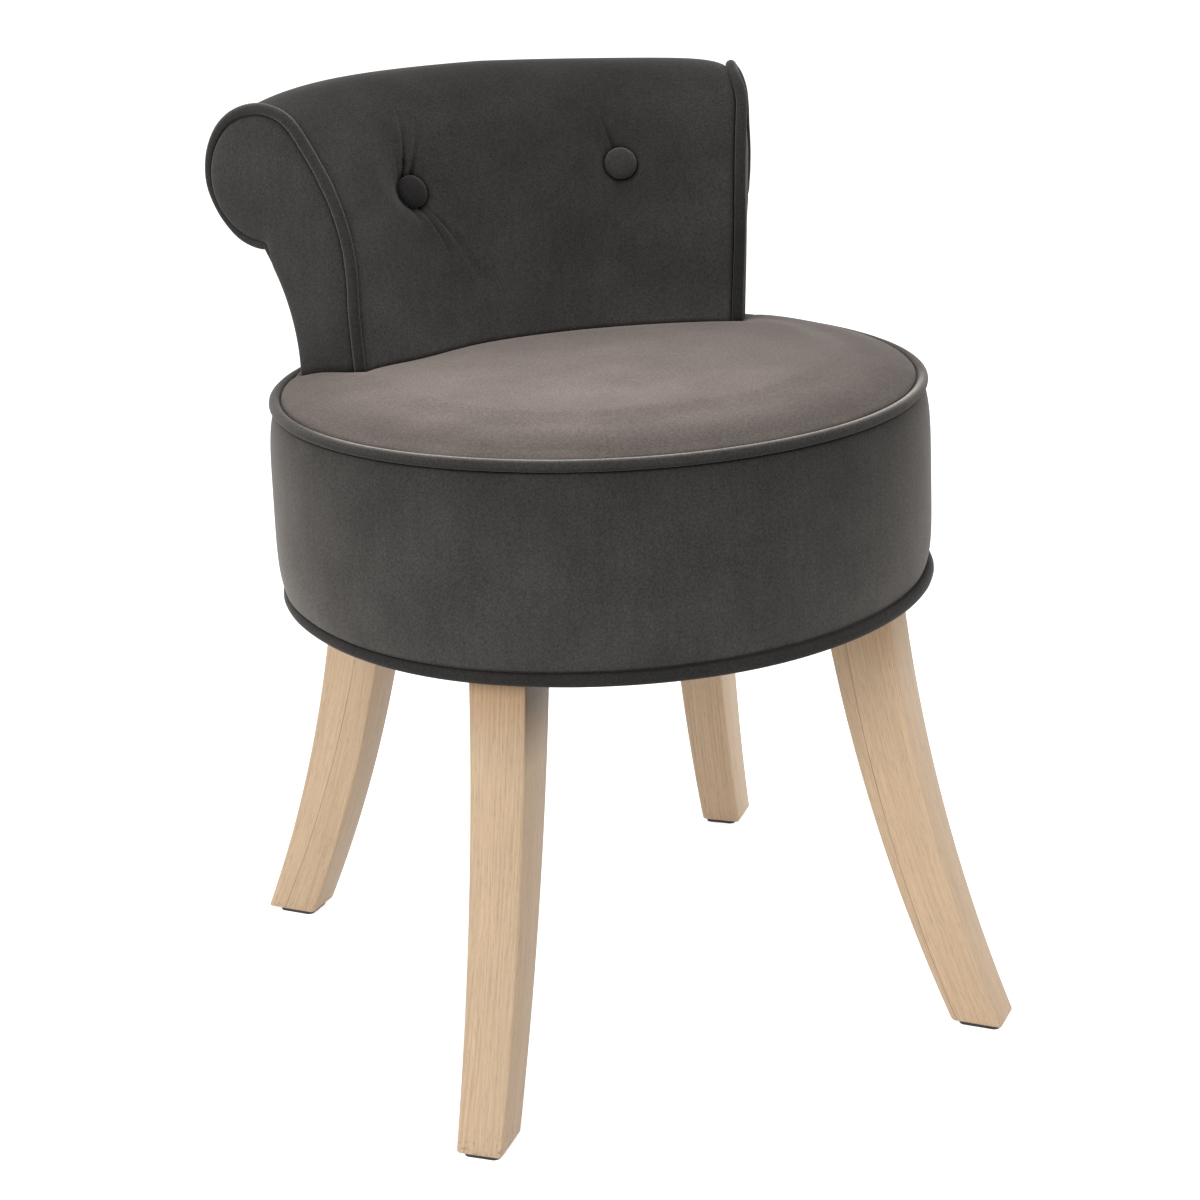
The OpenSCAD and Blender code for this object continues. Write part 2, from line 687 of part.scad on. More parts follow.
// A solid between two grids of the same size, closed round its edges with triangles
module grid_solid(outer, inner) {
    rows = len(outer);
    wide = len(outer[0]);
    n = rows * wide;
    points = concat([for (row = outer) each row], [for (row = inner) each row]);
    at = function (s, i, j) s * n + i * wide + j;
    rim = concat([for (j = [0:wide - 1]) [0, j]], [for (i = [1:rows - 1]) [i, wide - 1]],
        [for (j = [wide - 2:-1:0]) [rows - 1, j]], [for (i = [rows - 2:-1:1]) [i, 0]]);
    skins = [for (s = [0, 1], i = [0:rows - 2], j = [0:wide - 2])
        let (a = at(s, i, j), b = at(s, i, j + 1), c = at(s, i + 1, j + 1), d = at(s, i + 1, j))
        each s == 0 ? [[a, c, b], [a, d, c]] : [[a, b, c], [a, c, d]]];
    edges = [for (k = [0:len(rim) - 1])
        let (p = rim[k], q = rim[(k + 1) % len(rim)],
            a = at(0, p[0], p[1]), b = at(0, q[0], q[1]), c = at(1, q[0], q[1]), d = at(1, p[0], p[1]))
        each [[b, d, a], [b, c, d]]];
    polyhedron(points = points, faces = concat(skins, edges), convexity = 6);
}

cord_r = 0.9;
// Runs children along a button's axis, with z = 0 at the seam line and +z outwards
module at_button(side) {
    at_back() translate(button_base(side))
        rotate([0, 0, -side * button_angle]) rotate([90 - button_lean, 0, 0]) children();
}
module cord_bores(gap) {
    for (side = [-1, 1]) at_button(side) translate([0, 0, -roll_r])
        cylinder(r = cord_r + gap, h = 2 * roll_r, $fn = 24);
}
module back_front_cover() {
    color(velvet) difference() {
        at_back() grid_solid(
            skin(cover_section(0), 0, end_cover_in, 1),
            skin(cover_section(velvet_t), velvet_t, end_cover_in, 1));
        cord_bores(bolt_gap);
    }
}
module back_foam() {
    color(foam_colour) difference() {
        at_back() grid_solid(
            skin(foam_section, foam_inset, end_foam_in, 1),
            skin(foam_section, foam_inner_inset, end_foam_in, 0));
        cord_bores(bolt_gap);
    }
}

// Ends of the back: pairs of points across the end, from its front edge to its rear edge
end_front_rows = 4;
end_bend_rows = 5;
end_rear_rows = 3;
end_hollow_rows = 6;
end_roll_rows = 8;
end_rows = end_front_rows + end_bend_rows + 1 + end_roll_rows;
tip_angle = -20;
tip_spread = 6;
function end_front(i) = concat(
    [for (k = [0:end_front_rows - 1]) [i, lerp(deck_top, front_z, k / end_front_rows)]],
    front_bend(i, end_bend_rows),
    [for (k = [1:end_roll_rows])
        circle_point(roll_c, roll_r - i, lerp(roll_start, tip_angle + tip_spread, k / end_roll_rows))]
);
function end_rear(i) = let (hollow = hollow_from(neck_point(i, i), i, end_hollow_rows)) concat(
    [for (k = [0:end_rear_rows - 1]) [back_depth - i, lerp(deck_top, neck_z, k / end_rear_rows)]],
    [for (k = [end_hollow_rows:-1:0]) hollow[k]],
    [for (k = [1:end_roll_rows])
        circle_point(roll_c, roll_r - i, lerp(neck_angle(i, i), tip_angle - tip_spread, k / end_roll_rows))]
);
end_cols = 7;
// Half width of an end at which its padding has risen most of the way
puff_reach = 16;
// Grid over an end at an inset i, d out from the seam plane, puffed by its own width
function end_skin(i, d, puff) =
    let (f = end_front(i), b = end_rear(i))
    [for (k = [0:end_rows - 1]) let (
        half = norm(b[k] - f[k]) / 2,
        low = min(1, lerp(end_low_swell, 1, (f[k][1] - deck_top) / (front_z - deck_top))),
        rise = puff * end_crown * low * (1 - exp(-half / puff_reach))
    ) [for (j = [0:end_cols]) let (
        u = 2 * j / end_cols - 1,
        p = lerp(f[k], b[k], j / end_cols)
    ) [back_r + p[0], p[1], d + rise * sqrt(max(0, 1 - u * u))]]];
end_inset = piping_r + skin_gap;
// The end pipings' seam allowance starts this far inside the cord's centre line
seam_start = 2;
module back_end_cover(side) {
    color(velvet) at_back() on_side(side) at_end(0)
        grid_solid(end_skin(end_inset, end_cover_out, 1), end_skin(end_inset, end_flange_out, 0));
}
module back_end_pad(side) {
    color(foam_colour) at_back() on_side(side) {
        at_end(end_pad_in) linear_extrude(end_flange_in - end_pad_in)
            polygon(behind_seam(end_outline(end_inset)));
        at_end(end_flange_in - sliver) linear_extrude(seam_t + sliver)
            polygon(behind_seam(end_outline(seam_start + seam_w + skin_gap)));
    }
}
// A round cord along a flat path: one ring of sides at each point, mitred at the bends
module flat_cord(path, r, sides) {
    last = len(path) - 1;
    step = [for (k = [0:last - 1]) (path[k + 1] - path[k]) / norm(path[k + 1] - path[k])];
    mitre = [for (k = [0:last]) let (
        into = step[max(k - 1, 0)],
        away = step[min(k, last - 1)],
        sum = into + away
    ) [sum[1], -sum[0]] * 2 / (sum * sum)];
    points = [for (k = [0:last], j = [0:sides - 1]) let (a = 360 * j / sides)
        [path[k][0] + r * cos(a) * mitre[k][0], path[k][1] + r * cos(a) * mitre[k][1], r * sin(a)]];
    walls = [for (k = [0:last - 1], j = [0:sides - 1]) let (
        a = k * sides + j,
        b = k * sides + (j + 1) % sides
    ) each [[a, b, a + sides], [b, b + sides, a + sides]]];
    top = last * sides;
    caps = [for (j = [1:sides - 2]) each [[0, j + 1, j], [top, top + j, top + j + 1]]];
    polyhedron(points = points, faces = concat(walls, caps), convexity = 6);
}
piping_sides = 10;
piping_bend_steps = 7;
piping_roll_steps = 20;
piping_hollow_steps = 6;
piping_path = let (hollow = hollow_from(neck_point(0, 0), 0, piping_hollow_steps)) concat(
    [[0, deck_top]],
    front_bend(0, piping_bend_steps),
    [for (k = [1:piping_roll_steps])
        circle_point(roll_c, roll_r, lerp(roll_start, neck_angle(0, 0), k / piping_roll_steps))],
    [for (k = [1:piping_hollow_steps]) hollow[k]],
    [[back_depth, deck_top]]
);
// Piping round an end with its flat seam allowance, open at the seat
module back_piping(side) {
    color(velvet_dark) at_back() on_side(side) {
        at_end(0) translate([back_r, 0, 0]) flat_cord(piping_path, piping_r, piping_sides);
        at_end(end_flange_in) linear_extrude(seam_t) difference() {
            polygon(behind_seam(end_outline(seam_start)));
            polygon(behind_seam(end_outline(seam_start + seam_w)));
            translate([back_r, deck_top - clear]) square([back_depth, clear + sliver]);
        }
    }
}

// Rear cover, from the neck down to the seat's deck
module back_rear_cover() {
    top = neck_point(-skin_gap, 0);
    inner_top = crossing(roll_c, roll_r + skin_gap, neck_c, neck_r + rear_inset);
    color(velvet) at_back() swept(end_cover_in) polygon(behind_seam(concat(
        [[back_depth, deck_top]],
        [for (k = [hollow_steps:-1:0]) hollow_from(top, 0, hollow_steps)[k]],
        hollow_from(inner_top, rear_inset, hollow_steps),
        [[back_depth - rear_inset, deck_top]]
    )));
}

// Covered buttons, each domed over a flat back, their cords and the anchors behind the board
button_t = 7;
button_edge_t = 3;
button_lift = 0.6;
button_bore = 2;
cord_end_gap = 0.4;
button_dome_h = button_t - button_edge_t;
button_dome_r = (pow(button_d / 2, 2) + button_dome_h * button_dome_h) / (2 * button_dome_h);
module back_button(side) {
    color(velvet_dark) at_button(side) translate([0, 0, button_lift - tuft_depth]) {
        difference() {
            intersection() {
                cylinder(r = button_d / 2, h = button_t);
                translate([0, 0, button_t - button_dome_r]) sphere(r = button_dome_r, $fn = 64);
            }
            translate([0, 0, -clear]) cylinder(r = cord_r + bolt_gap, h = clear + button_bore, $fn = 24);
        }
    }
}
anchor_w = 18;
anchor_t = 4;
anchor_floor_t = 1;
anchor_z = -rib_inset - anchor_t - clear;
module back_button_cords() {
    low = anchor_z + anchor_floor_t;
    high = button_lift - tuft_depth + button_bore - cord_end_gap;
    color(black) for (side = [-1, 1]) at_button(side) translate([0, 0, low])
        cylinder(r = cord_r, h = high - low, $fn = 24);
}
module back_button_anchors() {
    color(wood_pale) for (side = [-1, 1]) at_button(side) difference() {
        translate([-anchor_w / 2, -anchor_t / 2, anchor_z]) cube([anchor_w, anchor_t, anchor_t]);
        translate([0, 0, anchor_z + anchor_floor_t - bolt_gap])
            cylinder(r = cord_r + bolt_gap, h = anchor_t, $fn = 24);
    }
}

// Boards, ribs and rails of the back
module back_lining_board() {
    rear = board_inset + board_t;
    color(ply) difference() {
        at_back() swept(end_foam_in) polygon(behind_seam(concat(
            [[board_inset, deck_top]],
            front_bend(board_inset, bend_steps),
            roll_arc(board_inset, roll_start - roll_lead, foam_end_angle, foam_roll_steps),
            roll_arc(rear, foam_end_angle, roll_start - roll_lead, foam_roll_steps),
            [for (k = [bend_steps:-1:0]) front_bend(rear, bend_steps)[k]],
            [[rear, deck_top]]
        )));
        cord_bores(bolt_gap);
    }
}
// Sections of the three rails, in the back's own section frame
module bottom_rail_section(gap) {
    translate([rail_front_r - gap, deck_top])
        square([rail_rear_r - rail_front_r + 2 * gap, rail_h + gap]);
}
neck_rail_h = 26;
neck_rail_w = 20;
neck_rail_over = 12;
module neck_rail_section(gap) {
    low = roll_z - roll_r - neck_rail_h + neck_rail_over;
    intersection() {
        polygon(behind_seam(concat(
            roll_arc(rib_step_inset - gap, foam_end_angle - neck_rail_over, rib_neck_angle + 1, step_steps),
            hollow_from(rib_neck, rib_rear_inset - gap, hollow_steps),
            [[0, neck_z], [0, roll_z]]
        )));
        translate([back_r + roll_offset - neck_rail_w, low - gap])
            square([neck_rail_w + neck_rail_over + gap, neck_rail_h + 2 * gap]);
    }
}
module roll_rail_section(gap) { translate([back_r + roll_c[0], roll_c[1]]) circle(r = roll_rail_r + gap); }
rail_d = rib_in - rail_end_gap;
module back_bottom_rail() {
    color(wood_pale) difference() {
        at_back() swept(rail_d) bottom_rail_section(0);
        back_bolt_places() translate([0, 0, deck_top - clear])
            cylinder(r = bolt_r + bolt_gap, h = rail_h + 2 * clear);
        back_bolt_places() translate([0, 0, rail_top]) t_nut(bolt_gap);
        rib_screw_places() wood_screw(bolt_gap);
    }
}
module back_neck_rail() {
    color(wood_pale) difference() {
        at_back() swept(rail_d) neck_rail_section(0);
        rib_screw_places() wood_screw(bolt_gap);
    }
}
module back_roll_rail() {
    color(wood_pale) difference() {
        at_back() swept(rail_d) roll_rail_section(0);
        rib_screw_places() wood_screw(bolt_gap);
    }
}
module back_rib(side) {
    color(ply) difference() {
        at_back() on_side(side) at_end(rib_in)
            linear_extrude(rib_t) polygon(behind_seam(rib_outline()));
        rib_screw_places() wood_screw(bolt_gap);
    }
}
module back_rib_centre() {
    notch_gap = rail_end_gap + skin_gap;
    color(ply) at_back() at_angle(0) difference() {
        translate([0, 0, -rib_t / 2]) linear_extrude(rib_t) polygon(behind_seam(rib_outline()));
        translate([0, 0, -rib_t]) {
            linear_extrude(2 * rib_t) bottom_rail_section(notch_gap);
            linear_extrude(2 * rib_t) neck_rail_section(notch_gap);
            linear_extrude(2 * rib_t) roll_rail_section(notch_gap);
        }
    }
}
// Screws through the end ribs into the rails' ends, heads flush under the end pads
neck_screw_in = 14;
neck_screw_drop = 5;
rib_screw_spots = [
    [rail_mid_r - back_r, deck_top + rail_h * 0.25],
    [rail_mid_r - back_r, deck_top + rail_h * 0.75],
    [roll_offset - neck_screw_in, roll_z - roll_r - neck_screw_drop],
    roll_c
];
module rib_screw_places() {
    at_back() for (side = [-1, 1], p = rib_screw_spots) on_side(side) at_end(end_pad_in)
        translate([back_r + p[0], p[1], 0]) rotate([180, 0, 0]) children();
}
module rib_screws() { color(steel) rib_screw_places() wood_screw(0); }

// Bolts up through the deck into the bottom rail
washer_r = 8.5;
washer_t = 1.6;
bolt_head_r = 6.5;
bolt_head_t = 5;
module back_bolt_places() {
    at_back() for (a = [-back_bolt_angle, -back_bolt_angle_inner, back_bolt_angle_inner, back_bolt_angle])
        rotate([0, 0, -a]) translate([0, rail_mid_r, 0]) children();
}
module back_bolts() {
    color(steel) back_bolt_places() {
        translate([0, 0, deck_z - washer_t - bolt_head_t])
            cylinder(r = bolt_head_r, h = bolt_head_t, $fn = 6);
        translate([0, 0, deck_z - washer_t - clear])
            cylinder(r = bolt_r, h = clear + washer_t + deck_t + rail_h);
    }
}
module back_bolt_washers() {
    color(steel) back_bolt_places() translate([0, 0, deck_z - washer_t]) difference() {
        cylinder(r = washer_r, h = washer_t);
        translate([0, 0, -clear]) cylinder(r = bolt_r + bolt_gap, h = washer_t + 2 * clear);
    }
}
module back_t_nuts() { color(steel) back_bolt_places() translate([0, 0, rail_top]) t_nut(0); }

seat_top_cover();
seat_band_cover();
seat_piping_top();
seat_piping_bottom();
seat_foam();
seat_band_padding();
seat_deck_board();
seat_hoop();
seat_base_board();
corner_block([-1, -1]);  // corner_block_front_left
corner_block([1, -1]);  // corner_block_front_right
corner_block([-1, 1]);  // corner_block_back_left
corner_block([1, 1]);  // corner_block_back_right
deck_screws();
base_screws();
dust_cover();
dust_cover_staples();
leg([-1, -1]);  // leg_front_left
leg([1, -1]);  // leg_front_right
leg([-1, 1]);  // leg_back_left
leg([1, 1]);  // leg_back_right
glide([-1, -1]);  // glide_front_left
glide([1, -1]);  // glide_front_right
glide([-1, 1]);  // glide_back_left
glide([1, 1]);  // glide_back_right
glide_nails();
leg_hanger_bolts();
leg_t_nuts();
back_front_cover();
back_rear_cover();
back_end_cover(-1);  // back_end_cover_left
back_end_cover(1);  // back_end_cover_right
back_piping(-1);  // back_piping_left
back_piping(1);  // back_piping_right
back_button(-1);  // back_button_left
back_button(1);  // back_button_right
back_button_cords();
back_button_anchors();
back_foam();
back_end_pad(-1);  // back_end_pad_left
back_end_pad(1);  // back_end_pad_right
back_lining_board();
back_rib(-1);  // back_rib_left
back_rib_centre();
back_rib(1);  // back_rib_right
back_bottom_rail();
back_neck_rail();
back_roll_rail();
rib_screws();
back_bolts();
back_bolt_washers();
back_t_nuts();
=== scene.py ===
"""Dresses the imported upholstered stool: padded velvet, piping, tufted buttons and pale wooden legs."""

import json
import logging
import math
from contextlib import contextmanager
from dataclasses import dataclass, field
from enum import Enum
from typing import Callable, Iterator, Sequence

import bpy
import numpy as np
from mathutils import Matrix, Vector, noise


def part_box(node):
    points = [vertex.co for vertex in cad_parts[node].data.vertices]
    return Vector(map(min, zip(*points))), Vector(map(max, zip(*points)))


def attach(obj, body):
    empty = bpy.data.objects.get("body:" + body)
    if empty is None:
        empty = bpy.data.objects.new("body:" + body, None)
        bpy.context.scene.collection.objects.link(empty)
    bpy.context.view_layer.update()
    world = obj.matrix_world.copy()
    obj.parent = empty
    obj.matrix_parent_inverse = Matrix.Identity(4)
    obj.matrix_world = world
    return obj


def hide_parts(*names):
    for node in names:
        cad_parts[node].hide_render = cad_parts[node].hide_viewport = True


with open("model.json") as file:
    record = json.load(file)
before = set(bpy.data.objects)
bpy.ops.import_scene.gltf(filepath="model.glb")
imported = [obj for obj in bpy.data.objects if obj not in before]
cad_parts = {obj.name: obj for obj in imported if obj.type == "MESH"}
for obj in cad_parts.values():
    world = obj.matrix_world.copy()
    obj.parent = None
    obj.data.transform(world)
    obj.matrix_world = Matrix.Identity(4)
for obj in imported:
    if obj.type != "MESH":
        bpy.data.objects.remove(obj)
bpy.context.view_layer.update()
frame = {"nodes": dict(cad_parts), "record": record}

log = logging.getLogger("stool")

MM = 0.001
SWELL_FRAMES = range(1, 21)

Pair = tuple[float, float]
Colour = tuple[float, float, float]
Piece = bpy.types.Object
Socket = bpy.types.NodeSocket
Array = np.ndarray
WHITE = (1.0, 1.0, 1.0, 1.0)


class Side(Enum):
    """Left and right as seen from the front."""

    LEFT = -1
    RIGHT = 1

    @property
    def words(self) -> str:
        """The side's name as the model's nodes write it."""
        return self.name.lower()


class Corner(Enum):
    """The four legs: signs along X and Y."""

    FRONT_LEFT = (-1, -1)
    FRONT_RIGHT = (1, -1)
    BACK_LEFT = (-1, 1)
    BACK_RIGHT = (1, 1)

    @property
    def words(self) -> str:
        """The corner's name as the model's nodes write it."""
        return self.name.lower()


# Operator helpers


def deselect() -> None:
    """Leaves edit mode and deselects everything."""
    if bpy.context.object and bpy.context.object.mode != "OBJECT":
        bpy.ops.object.mode_set(mode="OBJECT")
    bpy.ops.object.select_all(action="DESELECT")


def pick(obj: Piece) -> None:
    """Makes one object the only selected and active one."""
    deselect()
    obj.select_set(True)
    bpy.context.view_layer.objects.active = obj


@contextmanager
def editing(mode: str = "VERT", everything: bool = True) -> Iterator[None]:
    """Works on the active object in edit mode.

    Args:
        mode: what is selected, VERT or EDGE.
        everything: whether the whole mesh is selected first.
    """
    bpy.ops.object.mode_set(mode="EDIT")
    bpy.ops.mesh.select_mode(type=mode)
    if everything:
        bpy.ops.mesh.select_all(action="SELECT")
    yield
    bpy.ops.object.mode_set(mode="OBJECT")


def rows(obj: Piece, what: str) -> Array:
    """A mesh point's value, such as co or normal, as rows of x, y, z."""
    flat = np.empty(len(obj.data.vertices) * 3)
    obj.data.vertices.foreach_get(what, flat)
    return flat.reshape(-1, 3)


def points(obj: Piece) -> Array:
    """An object's mesh points in millimetres."""
    return rows(obj, "co") / MM


def put(obj: Piece, where: Array) -> None:
    """Moves an object's mesh points to places given in millimetres."""
    obj.data.vertices.foreach_set("co", (np.asarray(where) * MM).ravel())
    obj.data.update()


def store(obj: Piece, name: str, values: Array) -> None:
    """Stores a number or a vector at each mesh point, for the materials."""
    kind, key = ("FLOAT_VECTOR", "vector") if values.ndim > 1 else ("FLOAT", "value")
    obj.data.attributes.new(name, kind, "POINT").data.foreach_set(key, values.ravel())


def fill(obj: Piece, chosen: Array) -> None:
    """Closes the open edge that runs through the given mesh points with one face."""
    pick(obj)
    for items in (obj.data.polygons, obj.data.edges):
        items.foreach_set("select", np.zeros(len(items), bool))
    obj.data.vertices.foreach_set("select", chosen)
    with editing(everything=False):
        bpy.ops.mesh.edge_face_add()


def tidy_mesh(obj: Piece, merge: float = 0.01) -> None:
    """Merges doubled points and turns every face outwards.

    Args:
        obj: the piece.
        merge: distance under which points merge, in millimetres.
    """
    pick(obj)
    with editing():
        bpy.ops.mesh.remove_doubles(threshold=merge * MM)
        bpy.ops.mesh.normals_make_consistent(inside=False)


def apply(obj: Piece, kind: str, **values: object) -> None:
    """Adds a modifier with the given values and applies it."""
    pick(obj)
    modifier = obj.modifiers.new(kind.title(), kind)
    for name, value in values.items():
        setattr(modifier, name, value)
    bpy.ops.object.modifier_apply(modifier=modifier.name)


def refine(obj: Piece) -> None:
    """Applies one level of subdivision surface."""
    apply(obj, "SUBSURF", levels=1, render_levels=1, use_limit_surface=False)


def spun(name: str, profile: Sequence[Pair], axis_y: float, steps: int, start: float = 0.0,
         sweep: float = 360.0) -> Piece:
    """Spins a closed section about an upright axis.

    Args:
        name: the piece's name.
        profile: the section as distances from the axis and heights, in millimetres.
        axis_y: the axis's place in Y, in millimetres.
        steps: the number of steps.
        start: where the spin starts, in degrees from +Y towards +X.
        sweep: how far it goes, in degrees.

    Returns:
        The spun object, closed round the section and open at its ends unless it is a full turn.
    """
    deselect()
    bpy.ops.mesh.primitive_circle_add(vertices=len(profile), radius=MM, fill_type="NOTHING")
    obj = bpy.context.object
    obj.name = name
    turn = math.radians(start)
    put(obj, np.array([(r * math.sin(turn), axis_y + r * math.cos(turn), z) for r, z in profile]))
    with editing():
        bpy.ops.mesh.spin(steps=steps, angle=math.radians(sweep), center=(0, axis_y * MM, 0), axis=(0, 0, 1))
    tidy_mesh(obj)
    return obj


def grid_piece(name: str, wide: int, tall: int, place: Callable[[Array, Array], Array]
               ) -> Piece:
    """A grid whose points are moved to a surface.

    Args:
        name: the piece's name.
        wide: cells across.
        tall: cells along.
        place: gives places in millimetres from shares -1 to 1 across and along.

    Returns:
        The new object, an open sheet.
    """
    deselect()
    bpy.ops.mesh.primitive_grid_add(x_subdivisions=wide, y_subdivisions=tall, size=2 * MM)
    obj = bpy.context.object
    obj.name = name
    flat = points(obj)
    put(obj, place(flat[:, 0], flat[:, 1]))
    return obj


def close_down(obj: Piece, moves: Sequence[Sequence[float]]) -> None:
    """Turns an open sheet into a closed pad: its open edge is extruded by each move and then filled.

    Args:
        obj: the sheet.
        moves: extrusions in millimetres.
    """
    pick(obj)
    with editing("EDGE", False):
        bpy.ops.mesh.select_non_manifold(extend=False, use_wire=False, use_boundary=True,
                                         use_multi_face=False, use_non_contiguous=False, use_verts=False)
        for move in moves:
            bpy.ops.mesh.extrude_edges_move(TRANSFORM_OT_translate={"value": tuple(v * MM for v in move)})
        bpy.ops.mesh.edge_face_add()
        bpy.ops.mesh.select_all(action="SELECT")
        bpy.ops.mesh.normals_make_consistent(inside=False)


def ease(share: Array) -> Array:
    """A smooth step from 0 to 1 while the share goes from 0 to 1."""
    t = np.clip(share, 0, 1)
    return t * t * (3 - 2 * t)


def bell(value: Array, middle: float, wide: float) -> Array:
    """1 at the middle, falling away smoothly over a width on both sides."""
    return np.exp(-((value - middle) / wide) ** 2)


def run_along(line: Array) -> Array:
    """How far along a line each of its points lies."""
    return np.concatenate([[0], np.cumsum(np.linalg.norm(np.diff(line, axis=0), axis=1))])


def on_line(line: Array, share: Array) -> Array:
    """The places at shares, from 0 to 1, of a flat line's length."""
    run = run_along(line)
    return np.column_stack([np.interp(share * run[-1], run, line[:, i]) for i in (0, 1)])


def arc(centre: Pair, radius: float | Array, turn: Array | float) -> Array:
    """Places on a circle at angles in radians."""
    return np.array(centre) + np.reshape(radius, (-1, 1)) * np.column_stack([np.cos(turn), np.sin(turn)])


def disc(a: Array, b: Array, radius: float) -> tuple[Array, Array]:
    """X and Y on a disc for shares -1 to 1 of a square."""
    return radius * a * np.sqrt(1 - b * b / 2), radius * b * np.sqrt(1 - a * a / 2)


def calmed(obj: Piece, move: Array, held: Array, rounds: int) -> Array:
    """Evens a movement out over neighbouring points, so that a swell stays and its small folds go.

    Args:
        obj: the piece whose edges join the points.
        move: each point's movement.
        held: which points don't move.
        rounds: how often neighbours are averaged.

    Returns:
        The evened movement.
    """
    ends = np.empty(len(obj.data.edges) * 2, int)
    obj.data.edges.foreach_get("vertices", ends)
    one, other = ends[::2], ends[1::2]
    count = np.bincount(ends, minlength=len(move))[:, None]
    for _ in range(rounds):
        total = np.zeros_like(move)
        np.add.at(total, one, move[other])
        np.add.at(total, other, move[one])
        move = np.where(held[:, None], 0, 0.5 * move + 0.5 * total / count)
    return move


def inflate(obj: Piece, held: Array, cap: float, pressure: float, rounds: int) -> None:
    """Lets the cloth of a pad swell under pressure, held at its seams, and applies the result.

    Args:
        obj: the pad, a closed mesh.
        held: which mesh points stay where they are.
        cap: the most that a point may move, in millimetres.
        pressure: the pressure inside.
        rounds: how often the movement is evened out.
    """
    before = points(obj)
    pick(obj)
    group = obj.vertex_groups.new(name="held")
    group.add([int(i) for i in np.nonzero(held)[0]], 1.0, "REPLACE")
    cloth = obj.modifiers.new("Cloth", "CLOTH")
    cloth.settings.vertex_group_mass = "held"
    cloth.settings.quality = 5
    cloth.settings.use_pressure = True
    cloth.settings.uniform_pressure_force = pressure
    cloth.settings.effector_weights.gravity = 0
    cloth.collision_settings.use_collision = False
    for step in SWELL_FRAMES:
        bpy.context.scene.frame_set(step)
    bpy.ops.object.modifier_apply(modifier=cloth.name)
    bpy.context.scene.frame_set(SWELL_FRAMES[0])
    obj.vertex_groups.clear()
    move = calmed(obj, np.nan_to_num(points(obj) - before), held, rounds)
    far = np.linalg.norm(move, axis=1)
    share = np.minimum(1.0, cap / np.maximum(far, 1e-9))
    put(obj, before + move * share[:, None])
    log.info("%s swelled by %.1f mm at most", obj.name, float((far * share).max()))


def hand_in(obj: Piece, finish: "Finish", nodes: Sequence[str],
            crisp: float = 80.0) -> None:
    """Smooths and dresses a finished piece and ties it to the object.

    Args:
        obj: the piece.
        finish: its material.
        nodes: the model's nodes that it stands for.
        crisp: the angle in degrees from which an edge stays sharp.
    """
    pick(obj)
    bpy.ops.object.shade_smooth_by_angle(angle=math.radians(crisp))
    obj.data.materials.clear()
    obj.data.materials.append(finish.material())
    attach(obj, "root")
    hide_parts(*nodes)
    log.info("made %s: %d points", obj.name, len(obj.data.vertices))


# Finishes


